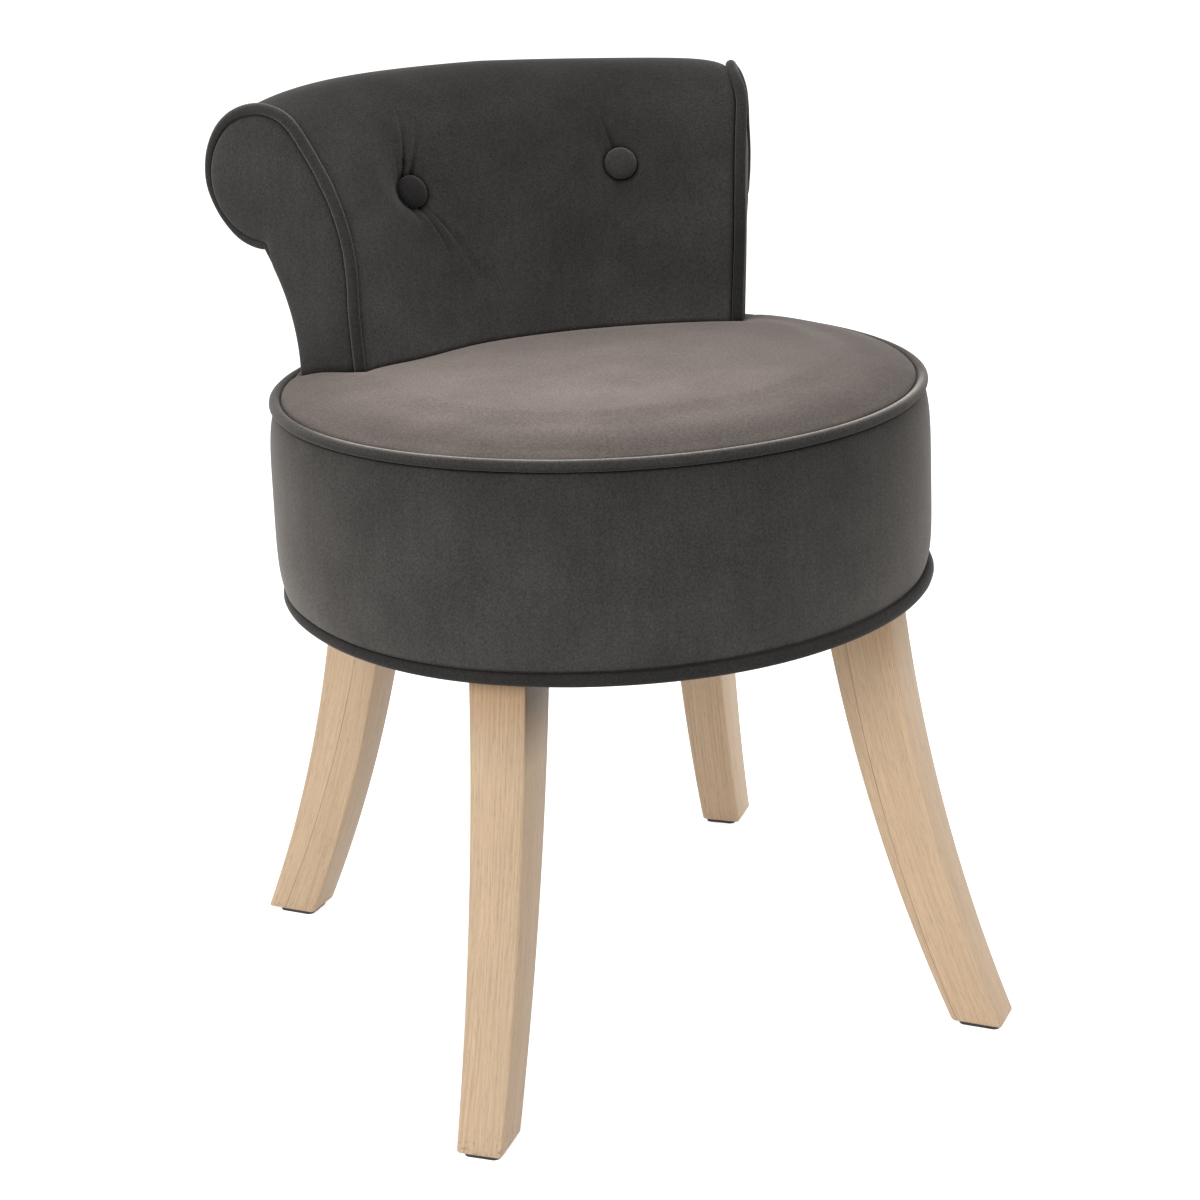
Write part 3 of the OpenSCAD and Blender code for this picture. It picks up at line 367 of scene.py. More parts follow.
class Graph:
    """The nodes of a material or a world, added and joined in short lines."""

    def __init__(self, owner: bpy.types.Material | bpy.types.World) -> None:
        """Turns the owner's nodes on."""
        owner.use_nodes = True
        self.owner = owner
        self.nodes, self.links = owner.node_tree.nodes, owner.node_tree.links

    def add(self, kind: str, inputs: dict | None = None, **values: object) -> bpy.types.Node:
        """Adds a node, sets its values and sets or joins its inputs.

        Args:
            kind: the node's type, without its ShaderNode prefix.
            inputs: input names or numbers, to plain values or to sockets.
            values: the node's own settings.

        Returns:
            The new node.
        """
        node = self.nodes.new("ShaderNode" + kind)
        for name, value in values.items():
            setattr(node, name, value)
        self.wire(node, inputs or {})
        return node

    def wire(self, node: bpy.types.Node, inputs: dict) -> None:
        """Sets each named input to a value, or joins it to a socket."""
        for name, value in inputs.items():
            if isinstance(value, Socket):
                self.links.new(value, node.inputs[name])
            else:
                node.inputs[name].default_value = value

    def dress(self, **inputs: object) -> bpy.types.Material:
        """Sets or joins the main shader's inputs, whose spaces are written as underscores."""
        named = {name.replace("_", " "): value for name, value in inputs.items()}
        self.wire(self.nodes["Principled BSDF"], named)
        return self.owner

    def place(self) -> Socket:
        """The place on the object."""
        return self.add("TexCoord").outputs["Object"]

    def stored(self, name: str, output: str = "Fac") -> Socket:
        """A value stored at the mesh points."""
        return self.add("Attribute", attribute_name=name).outputs[output]

    def normal(self, letter: str) -> Socket:
        """How far the surface faces along an axis, from -1 to 1."""
        return self.add("SeparateXYZ", {0: self.add("NewGeometry").outputs["Normal"]}).outputs[letter]

    def along(self, where: Socket, share: float) -> Socket:
        """Places whose Z is shortened, so that a pattern runs out along it."""
        return self.add("Mapping", {"Vector": where, "Scale": (1.0, 1.0, share)}).outputs["Vector"]

    def noise(self, where: Socket, scale: float, detail: float = 2.0) -> Socket:
        """A noise value at a place."""
        return self.add("TexNoise", {"Vector": where, "Scale": scale, "Detail": detail}).outputs["Fac"]

    def band(self, value: Socket, low: float, high: float, to_low: float = 0.0, to_high: float = 1.0
             ) -> Socket:
        """A value carried from one range to another, clamped."""
        inputs = {"Value": value, "From Min": low, "From Max": high, "To Min": to_low, "To Max": to_high}
        return self.add("MapRange", inputs).outputs["Result"]

    def vary(self, value: Socket, low: float, high: float) -> Socket:
        """A noise value carried to a range."""
        return self.band(value, 0.3, 0.7, low, high)

    def maths(self, operation: str, first: object, second: object = 0.0) -> Socket:
        """A sum, product or other operation on two values."""
        return self.add("Math", {0: first, 1: second}, operation=operation).outputs[0]

    def times(self, first: Socket, *others: object) -> Socket:
        """The product of several values."""
        for other in others:
            first = self.maths("MULTIPLY", first, other)
        return first

    def blend(self, share: object, first: object, second: object, how: str = "MIX") -> Socket:
        """A mix of two colours."""
        node = self.add("Mix", data_type="RGBA", blend_type=how)
        for name, value in (("Factor", share), ("A", first), ("B", second)):
            socket = [s for s in node.inputs if s.name == name and s.enabled][0]
            if isinstance(value, Socket):
                self.links.new(value, socket)
            else:
                socket.default_value = value if name == "Factor" else (*value, 1.0)
        return [s for s in node.outputs if s.enabled][0]

    def shade(self, colour: object, light: Socket) -> Socket:
        """A colour made lighter or darker by a value."""
        tone = self.add("CombineColor", {"Red": light, "Green": light, "Blue": light}).outputs[0]
        return self.blend(1.0, colour, tone, "MULTIPLY")

    def bump(self, height: Socket, depth: float, strength: float = 0.5, under: Socket | None = None
             ) -> Socket:
        """A bump of a depth in millimetres, on top of another one if given."""
        inputs = {"Height": height, "Distance": depth * MM, "Strength": strength}
        if under is not None:
            inputs["Normal"] = under
        return self.add("Bump", inputs).outputs["Normal"]

    def show(self, plain: Socket, bright: Socket, output: str) -> None:
        """Gives the camera, gloss and glass the bright shader, and all other rays the plain one."""
        path = self.add("LightPath").outputs
        seen = self.maths("MAXIMUM", path["Is Camera Ray"], path["Is Glossy Ray"])
        seen = self.maths("MAXIMUM", seen, path["Is Transmission Ray"])
        mix = self.add("MixShader", {0: seen, 1: plain, 2: bright})
        self.wire(self.nodes[output], {"Surface": mix.outputs[0]})


@dataclass(frozen=True)
class Finish:
    """A material that is made once and shared."""

    name: str
    slot: str

    def material(self) -> bpy.types.Material:
        """The finish's material, made at its first use."""
        return bpy.data.materials.get(self.name) or self.build(Graph(bpy.data.materials.new(self.name)))

    def build(self, graph: Graph) -> bpy.types.Material:
        """Builds the nodes."""
        raise NotImplementedError


@dataclass(frozen=True)
class Velvet(Finish):
    """Short-pile velvet: dark where it faces the eye, paler and warmer where it turns away as a painted
    sheen, with painted shade in its creases and on faces turned down.
    """

    # deep is the cloth's own colour; pale is a painted sheen, mixed in where the surface turns away from the
    # eye.
    deep: Colour = (0.040, 0.0385, 0.0362)
    pale: Colour = (0.215, 0.192, 0.172)
    turn: float = 2.0
    sheen: float = 0.30
    mottle: float = 0.13
    pile: float = 0.12
    # How far the painted shade in creases, hollows and between parts reaches, in millimetres.
    crease: float = 7.0
    # How much painted sheen stays on faces turned down; the rest is painted shade beneath.
    under: float = 0.3
    # How light faces turned up stay; below 1 it paints shade on the tops.
    upward_shade: float = 1.0
    # Whether the stored per-point values are read: painted light and shade, with the pile's lay.
    nap_and_shade: bool = True
    # The range of open surround over which the painted crease shade fades out.
    crease_shade_range: Pair = (0.3, 0.9)

    def build(self, graph: Graph) -> bpy.types.Material:
        """Mixes the two tones by the angle of view as a painted sheen, adds the pile's clouds and grain, and
        darkens it by painted shade in creases, on faces turned up and down and from the stored values.
        """
        where, up = graph.place(), graph.normal("Z")
        # Painted sheen: the pale tone's share grows as the surface turns away from the eye and shrinks on
        # faces turned down, a painted shade beneath.
        facing = graph.add("LayerWeight", {"Blend": 0.5}).outputs["Facing"]
        share = graph.times(graph.maths("POWER", facing, self.turn), graph.band(up, -0.7, 0.7, self.under))
        grain = graph.noise(where, 760.0, 3.0)
        # Painted shade in creases, hollows and between parts: down to an eighth of the light where the
        # surround is closed.
        crease_openness = graph.add("AmbientOcclusion", {"Distance": self.crease * MM}, samples=8).outputs["AO"]
        # The cloth's own clouds, streaks and pile grain, times the painted crease shade and the painted shade
        # on faces turned up.
        light = graph.times(
            graph.vary(graph.noise(where, 26.0, 5.0), 1.0 - self.mottle, 1.0 + self.mottle),
            graph.vary(graph.noise(graph.along(where, 0.08), 260.0, 3.0), 0.95, 1.05),
            graph.vary(grain, 0.74, 1.26), graph.band(crease_openness, *self.crease_shade_range, 0.12),
            graph.band(up, 0.15, 0.95, 1.0, self.upward_shade))
        # The stored per-point values: painted light and shade, with the pile's lay.
        if self.nap_and_shade:
            light = graph.times(light, graph.stored("nap_and_shade"))
        return graph.dress(
            Base_Color=graph.shade(graph.blend(share, self.deep, self.pale), light), Roughness=0.95,
            Specular_IOR_Level=0.12, Sheen_Weight=self.sheen, Sheen_Roughness=0.35,
            Sheen_Tint=(0.84, 0.79, 0.75, 1.0), Normal=graph.bump(grain, self.pile))


@dataclass(frozen=True)
class Timber(Finish):
    """Pale straight-grained wood; the grain follows the piece's own length through an attribute."""

    light: Colour = (0.672, 0.490, 0.322)
    dark: Colour = (0.545, 0.345, 0.195)
    lines: float = 0.55
    gloss: float = 0.46
    turned: bool = True

    def build(self, graph: Graph) -> bpy.types.Material:
        """Draws growth lines, short pores and slow changes of tone, and a leg's glue line and knots, with
        painted shade at its top and painted light in its brightness.
        """
        where = graph.stored("grain", "Vector") if self.turned else graph.place()
        long, short = graph.along(where, 0.03), graph.along(where, 0.09)
        aslant = graph.add("Mapping", {"Vector": long, "Rotation": (0.0, 0.0, math.radians(28))})
        wave = graph.add("TexWave", {"Vector": aslant.outputs["Vector"], "Scale": 240.0, "Distortion": 2.6,
                                     "Detail": 2.0, "Detail Scale": 0.6}, wave_profile="SAW").outputs["Fac"]
        line = graph.times(graph.band(wave, 0.45, 1.0),
                           graph.band(graph.noise(short, 60.0), 0.35, 0.65, 0.25), self.lines)
        pores = graph.band(graph.noise(short, 1500.0), 0.54, 0.66)
        fibre = graph.noise(graph.along(where, 0.012), 1000.0)
        cloth = graph.blend(line, self.light, self.dark)
        light = graph.times(graph.vary(graph.noise(long, 34.0, 3.0), 0.93, 1.06),
                            graph.vary(fibre, 0.88, 1.08), graph.band(pores, 0.0, 1.0, 1.0, 0.86))
        if self.turned:
            board = graph.add("SeparateXYZ", {0: graph.stored("board", "Vector")}).outputs
            # The glue line, knots and painted top shadow, and the leg's brightness, which is painted light.
            light = graph.times(light, self.joint(graph, where, board), graph.stored("tone"))
            # Painted shade under the drum together with a warmer tone of the wood, over the top of each leg.
            warm_top_shade = graph.blend(1.0, cloth, (0.97, 0.86, 0.74), "MULTIPLY")
            cloth = graph.blend(graph.band(board["Z"], 0.84, 0.97), cloth, warm_top_shade)
        return graph.dress(
            Base_Color=graph.shade(cloth, light), Specular_IOR_Level=0.35,
            Roughness=graph.vary(fibre, self.gloss - 0.05, self.gloss + 0.09),
            Normal=graph.bump(pores, -0.05, 0.5, graph.bump(fibre, 0.06, 0.4)))

    def joint(self, graph: Graph, where: Socket, board: bpy.types.NodeOutputs) -> Socket:
        """The darkening by a leg's glue line and by the small knots at its foot, and a painted shadow of the
        drum at the top of its right-facing side.

        Args:
            graph: the material's nodes.
            where: the place along the grain.
            board: how far the glue line is, in metres, how many knots the foot has and how deep the painted
                shadow at the top is, and the height, from 0 at the foot to 1 at the top.

        Returns:
            The light that is left.
        """
        gap, knots_and_shadow, height = board["X"], board["Y"], board["Z"]
        glue = graph.band(graph.maths("ABSOLUTE", gap), 0.15 * MM, 0.45 * MM, 0.62)
        other = graph.band(gap, -0.2 * MM, 0.2 * MM, 0.975, 1.02)
        knots = graph.times(graph.band(graph.noise(where, 420.0, 3.0), 0.60, 0.68),
                            graph.band(height, 0.0, 0.06, 1.0, 0.0), knots_and_shadow)
        # Painted shadow of the drum on the top of the leg's right-facing side, deepest on the front left leg.
        aside = graph.times(graph.band(graph.normal("X"), -0.2, 0.4, 0.22),
                            graph.band(knots_and_shadow, 0.2, 1.0, 0.15, 0.78), graph.band(height, 0.78, 0.93))
        return graph.times(glue, other, graph.band(knots, 0.0, 1.0, 1.0, 0.55),
                           graph.maths("SUBTRACT", 1.0, aside))


@dataclass(frozen=True)
class Plain(Finish):
    """A matt, metal or plastic finish with a fine mottle."""

    colour: Colour = (0.5, 0.5, 0.5)
    metal: float = 0.0
    rough: float = 0.5
    scale: float = 400.0
    depth: float = 0.05
    change: float = 0.10

    def build(self, graph: Graph) -> bpy.types.Material:
        """Varies colour, roughness and height by one noise."""
        speck = graph.noise(graph.place(), self.scale, 3.0)
        return graph.dress(
            Base_Color=graph.shade(self.colour, graph.vary(speck, 1.0 - self.change, 1.0 + self.change)),
            Metallic=self.metal, Roughness=graph.vary(speck, self.rough - 0.06, self.rough + 0.06),
            Normal=graph.bump(speck, self.depth))


# One velvet cloth in several copies: each pale tone sets how strong the painted sheen is on that piece,
# strongest on the seat's top.
SEAT_VELVET = Velvet("Cushion velvet", "seat_velvet", pale=(0.306, 0.250, 0.222), turn=1.5, mottle=0.10)
BAND_VELVET = Velvet("Band velvet", "band_velvet", turn=2.2, crease_shade_range=(0.48, 0.86))
BACK_VELVET = Velvet("Back velvet", "back_velvet", (0.0435, 0.0415, 0.0395), (0.130, 0.122, 0.115), turn=1.2,
                     sheen=0.16, mottle=0.17, crease=4.0, upward_shade=0.40)
END_VELVET = Velvet("End velvet", "end_velvet", (0.044, 0.042, 0.040), (0.120, 0.112, 0.104), nap_and_shade=False)
BUTTON_VELVET = Velvet("Button velvet", "button_velvet", (0.040, 0.038, 0.037), (0.190, 0.175, 0.165),
                       crease=4.0, nap_and_shade=False)
# A shaded copy of the button velvet for the left button, sunk in shade: painted shade, with a longer reach of
# crease shade.
SHADED_BUTTON_VELVET = Velvet("Shaded button velvet", "button_velvet", (0.018, 0.017, 0.017),
                            (0.080, 0.074, 0.070), crease=14.0, nap_and_shade=False)
PIPING_VELVET = Velvet("Piping velvet", "piping_velvet", pale=(0.170, 0.152, 0.137), turn=2.2, mottle=0.08,
                       crease=3.0, under=0.0)
# A lit copy of the piping velvet with a paler painted sheen, for the left end's cord on the key-lit side.
LIT_BACK_PIPING_VELVET = Velvet("Lit back piping velvet", "piping_velvet", (0.036, 0.034, 0.033),
                            (0.240, 0.218, 0.200), turn=2.4, mottle=0.08, crease=4.0, under=0.25, nap_and_shade=False)
# A darker copy of the piping velvet, for the hem and the right end's cord: painted shade.
SHADED_PIPING_VELVET = Velvet("Shaded piping velvet", "piping_velvet", (0.028, 0.027, 0.026), (0.100, 0.090, 0.083),
                    mottle=0.08, crease=5.0, under=0.0, nap_and_shade=False)
LEG_WOOD = Timber("Pale leg wood", "leg_wood")
FRAME_WOOD = Timber("Raw frame wood", "frame_wood", light=(0.62, 0.45, 0.28), gloss=0.6, turned=False)
PLYWOOD = Timber("Raw plywood", "plywood", light=(0.58, 0.42, 0.26), gloss=0.65, turned=False)
GLIDE_BLACK = Plain("Black glide plastic", "glide_plastic", (0.018, 0.018, 0.019), 0.0, 0.55)
ZINC_STEEL = Plain("Zinc plated steel", "steel", (0.55, 0.55, 0.57), 1.0, 0.34)
FOAM = Plain("Cushion foam", "foam", (0.72, 0.64, 0.42), 0.0, 0.95, 900.0, 0.3)
DUST_CLOTH = Plain("Black dust cloth", "dust_cloth", (0.022, 0.022, 0.023), 0.0, 0.9, 1300.0, 0.15, 0.3)
CORD_BLACK = Plain("Waxed cord", "cord", (0.03, 0.03, 0.03), 0.0, 0.5)


# Shapes


@dataclass
class Drum:
    """The round seat: crowned top, padded band and its two pipings.

    The dip beside the back, the sag at its left foot and the seams are each a depth and a reach.
    """

    centre_y: float = 0.5 * (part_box("seat_piping_bottom")[0][1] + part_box("seat_piping_bottom")[1][1]) / MM
    ring_r: float = 200.0
    ring_z: float = 396.0
    cord_r: float = 3.5
    hem_ring_r: float = 201.6
    hem_z: float = 273.6
    hem_cord_r: float = 4.3
    hem_shift: float = 2.0
    hem_join: float = -152.3
    hem_tilt: float = 2.6
    # Strength of the painted highlight along the top of the seat's cords.
    rim: float = 3.2
    top_r: float = 196.3
    edge_z: Pair = (400.4, 397.4)
    dome_z: float = 409.8
    dome_power: Pair = (13.0, 7.5)
    worn_way: Pair = (-0.45, -0.89)
    deck_z: float = 361.0
    dip: Pair = (3.0, 7.0)
    sag: Pair = (2.2, 34.0)
    sag_at: Pair = (-88.0, 78.0)
    edge_wave: float = 0.35
    uneven: float = 0.12
    pucker: Pair = (0.32, 9.0)
    slow_wave: float = 0.35
    join_groove: Pair = (1.1, 1.8)
    band_low: float = 277.6
    band_high: float = 393.2
    band_low_r: float = 202.0
    band_high_r: float = 200.3
    band_bulge: float = 4.3
    band_power: float = 5.0
    band_inner_r: float = 197.6

    def round_about(self, where: Array) -> tuple[Array, Array]:
        """Distance from the drum's axis and the angle from +Y towards +X, in radians."""
        y = where[:, 1] - self.centre_y
        return np.hypot(where[:, 0], y), np.arctan2(where[:, 0], y)

    def crown_z(self, x: Array, y: Array) -> Array:
        """Height of the crowned top, which falls away more softly at the worn front than behind."""
        r = np.hypot(x, y)
        worn = ease(0.5 + 0.5 * (x * self.worn_way[0] + y * self.worn_way[1]) / np.maximum(r, 1))
        edge = self.edge_z[0] + (self.edge_z[1] - self.edge_z[0]) * worn
        power = self.dome_power[0] + (self.dome_power[1] - self.dome_power[0]) * worn
        return edge + (self.dome_z - edge) * (1 - np.clip(r / self.top_r, 0, 1) ** power)

    def cushion(self, back: "Back") -> None:
        """The seat cushion: a crowned pad, tucked down where the back stands in it."""
        def crowned(a: Array, b: Array) -> Array:
            x, y = disc(a, b, self.top_r)
            return np.column_stack([x, y + self.centre_y, self.crown_z(x, y)])

        obj = grid_piece("seat_cushion", 78, 78, crowned)
        low_edge = self.edge_z[1]
        drop = low_edge - self.deck_z
        close_down(obj, [(0, 0, -6), (0, 0, -(drop - 6) / 2), (0, 0, -(drop - 6) / 2)])
        where = points(obj)
        r, _ = self.round_about(where)
        inflate(obj, (where[:, 2] < low_edge + 0.5) | (r > self.top_r - 3), 1.0, 1.0, 40)
        refine(obj)
        where = points(obj)
        r, angle = self.round_about(where)
        top = where[:, 2] > low_edge - 2
        inside = back.inside(where)
        dip = self.dip[0] * np.exp(-np.clip(-inside, 0, 60) / self.dip[1])
        tuck = np.clip((inside - 1.0) / 5.0, 0, 1)
        low = self.deck_z + 3
        z = where[:, 2] - np.where(top, dip, 0)
        where[:, 2] = np.where(top, z + (low - z) * tuck, z)
        sag = bell(where[:, 0], self.sag_at[0], self.sag[1])
        sag *= bell(where[:, 1] - self.centre_y, self.sag_at[1], self.sag[1])
        where[:, 2] -= self.sag[0] * sag * top
        edge = np.exp(-(self.top_r - r) / 7.0) * (r > self.top_r - 40) * top
        where[:, 2] += self.edge_wave * edge * ripple(angle, 46, 3.1)
        where[:, 2] += self.uneven * np.array([noise.noise(Vector(w) / 75.0) for w in where]) * top
        put(obj, where)
        # Painted light and shade across the seat, with the pile's lay: darker towards the right and towards
        # the rim.
        east, north = where[:, 0] / 150, (where[:, 1] - self.centre_y) / 150
        lay_and_shade = np.exp(-0.17 * east - 0.17 * np.clip(east, 0, 2) ** 2 - 0.17 * north + 0.09 * north ** 2
                      + 0.075 * east * north)
        store(obj, "nap_and_shade", lay_and_shade * 0.94 * (1 - 0.16 * ease((r - 90) / 100))
              * (1 - 0.22 * ease((r - 145) / 45)))
        hand_in(obj, SEAT_VELVET, ["seat_top_cover", "seat_foam"])

    def band_radius(self, share: Array) -> Array:
        """The band's outer radius at a share of its height."""
        swell = self.band_bulge * (1 - np.abs(2 * share - 1) ** self.band_power)
        return self.band_low_r + (self.band_high_r - self.band_low_r) * share + swell

    def band(self) -> None:
        """The padded band between the pipings, with small puckers at its seams and a sewn join behind."""
        rows = 27
        share = (1 - np.cos(np.linspace(0, math.pi, rows))) / 2
        share = 0.55 * share + 0.45 * np.linspace(0, 1, rows)
        height = self.band_high - self.band_low
        radii = self.band_radius(share)
        outer = [(float(r), self.band_low + height * float(t)) for r, t in zip(radii, share)]
        inner = [(self.band_inner_r, self.band_high), (self.band_inner_r, self.band_high - height / 2),
                 (self.band_inner_r, self.band_low)]
        obj = spun("seat_band_cushion", outer + inner, self.centre_y, 256)
        where = points(obj)
        r, _ = self.round_about(where)
        seam = np.minimum(where[:, 2] - self.band_low, self.band_high - where[:, 2])
        inflate(obj, (r < self.band_inner_r + 1) | (seam < 1.5), 0.8, 1.0, 6)
        refine(obj)
        where = points(obj)
        r, angle = self.round_about(where)
        seam = np.clip(np.minimum(where[:, 2] - self.band_low, self.band_high - where[:, 2]), 0, None)
        outside = r > self.band_inner_r + 1.5
        pucker = self.pucker[0] * np.exp(-seam / self.pucker[1]) * ripple(angle, 58, 1.3)
        pucker += self.slow_wave * ripple(angle, 7, 8.2)
        from_join = np.abs(angle) * r
        join = self.join_groove[0] * bell(from_join, 0, self.join_groove[1]) - 0.5 * bell(from_join, 6.0, 4.0)
        push = np.where(outside, pucker * np.clip(seam / 3.0, 0, 1) - join, 0)
        out = np.column_stack([np.sin(angle), np.cos(angle), np.zeros_like(angle)])
        share = np.clip((where[:, 2] - self.band_low) / height, 0, 1)
        where[:, 2] += self.tilt(angle) * np.exp(-share * 9.0)
        put(obj, where + out * push[:, None])
        # Painted light and shade up the band: lighter low down, darker high up, and darkest at both seams, a
        # painted crease shade.
        lay_and_shade = np.interp(share, [0.0, 0.015, 0.2, 0.5, 0.9, 0.985, 1.0],
                         [0.2, 1.35, 1.30, 1.15, 0.91, 0.82, 0.12])
        # A painted pool of key light on the band's upper front left.
        key_lit_patch = bell(np.degrees(angle), -125, 24) * ease((share - 0.25) / 0.3)
        store(obj, "nap_and_shade", lay_and_shade * (1 + 0.16 * key_lit_patch))
        hand_in(obj, BAND_VELVET, ["seat_band_cover", "seat_band_padding"])

    def tilt(self, angle: Array) -> Array:
        """How much higher the drum's lower edge lies at the front right than at the front left."""
        return self.hem_tilt * np.sin(angle) * ease(-np.cos(angle) * 1.4)

    def piping(self, name: str, finish: Velvet, ring_r: float, ring_z: float, cord_r: float,
               tail: Sequence[Pair], turn: Pair, wave: float, shift: float = 0.0, join: float = 0.0,
               tilted: bool = False) -> None:
        """One piping: a covered cord with its flat seam allowance.

        Args:
            name: which piping it is, top or bottom.
            finish: its velvet.
            ring_r: radius of the cord's centre line.
            ring_z: height of the cord's centre line.
            cord_r: radius of the cord.
            tail: the seam allowance's far corners, as radius and height.
            turn: where the cord's outline starts and ends round its own middle, in degrees.
            wave: how far the cord wanders up and down.
            shift: how far the cord lies off centre, in X.
            join: angle at which its ends meet, in degrees from +Y towards +X.
            tilted: whether the cord follows the drum's lower edge.
        """
        profile = [(ring_r + cord_r * math.cos(t), ring_z + cord_r * math.sin(t))
                   for t in np.radians(np.linspace(*turn, 17))]
        obj = spun(f"seat_covered_cord_{name}", profile + list(tail), self.centre_y, 288)
        where = points(obj)
        r, angle = self.round_about(where)
        on_cord = np.hypot(r - ring_r, where[:, 2] - ring_z) < cord_r + 0.2
        where[:, 2] += np.where(on_cord, wave * ripple(angle, 9, 5.5 + ring_z), 0)
        round_cord = np.degrees(np.arctan2(where[:, 2] - ring_z, r - ring_r))
        # Painted highlight along the top of the cord at the front, and painted shade on the cord's underside.
        lit = bell(round_cord, 94, 27) * ease((np.cos(angle + 2.97) - 0.25) / 0.35)
        cord_underside_shade = 1 - 0.35 * bell(round_cord, -50, 35)
        where[:, 2] += self.tilt(angle) * on_cord * tilted
        swell = 1 + 0.03 * ripple(angle, 60, ring_z)
        off_join = np.mod(angle - math.radians(join) + math.pi, 2 * math.pi) - math.pi
        from_join = np.abs(off_join) * r
        swell += 0.10 * bell(from_join, 0, 9.0) - 0.10 * bell(from_join, 0, 1.6)
        out_r = ring_r + (r - ring_r) * np.where(on_cord, swell, 1)
        where[:, 0] = out_r * np.sin(angle) + shift * on_cord
        where[:, 1] = self.centre_y + out_r * np.cos(angle)
        put(obj, where)
        store(obj, "nap_and_shade", cord_underside_shade + self.rim * lit * on_cord)
        hand_in(obj, finish, [f"seat_piping_{name}"], crisp=60)

    def build(self, back: "Back") -> None:
        """Builds the cushion, the band and both pipings."""
        self.cushion(back)
        self.band()
        self.piping("top", PIPING_VELVET, self.ring_r, self.ring_z, self.cord_r,
                    [(197.3, 383.0), (196.3, 383.0)], (180.0, -137.0), 0.25)
        self.piping("bottom", SHADED_PIPING_VELVET, self.hem_ring_r, self.hem_z, self.hem_cord_r,
                    [(191.0, 272.6), (191.0, 273.6)], (185.0, -160.0), 0.4, self.hem_shift, self.hem_join,
                    True)


def ripple(angle: Array, waves: float, seed: float) -> Array:
    """A closed, uneven ripple round a circle, from about -1 to 1.

    Args:
        angle: angles in radians.
        waves: roughly how many waves go round.
        seed: picks the pattern.

    Returns:
        The ripple at each angle.
    """
    steps = 1440
    reach = waves / (2 * math.pi)
    table = [noise.noise(Vector((reach * math.cos(t), reach * math.sin(t), seed)))
             for t in np.linspace(0, 2 * math.pi, steps, endpoint=False)]
    at = np.mod(angle, 2 * math.pi) / (2 * math.pi) * steps
    return 1.6 * np.interp(at, np.arange(steps + 1), table + table[:1])


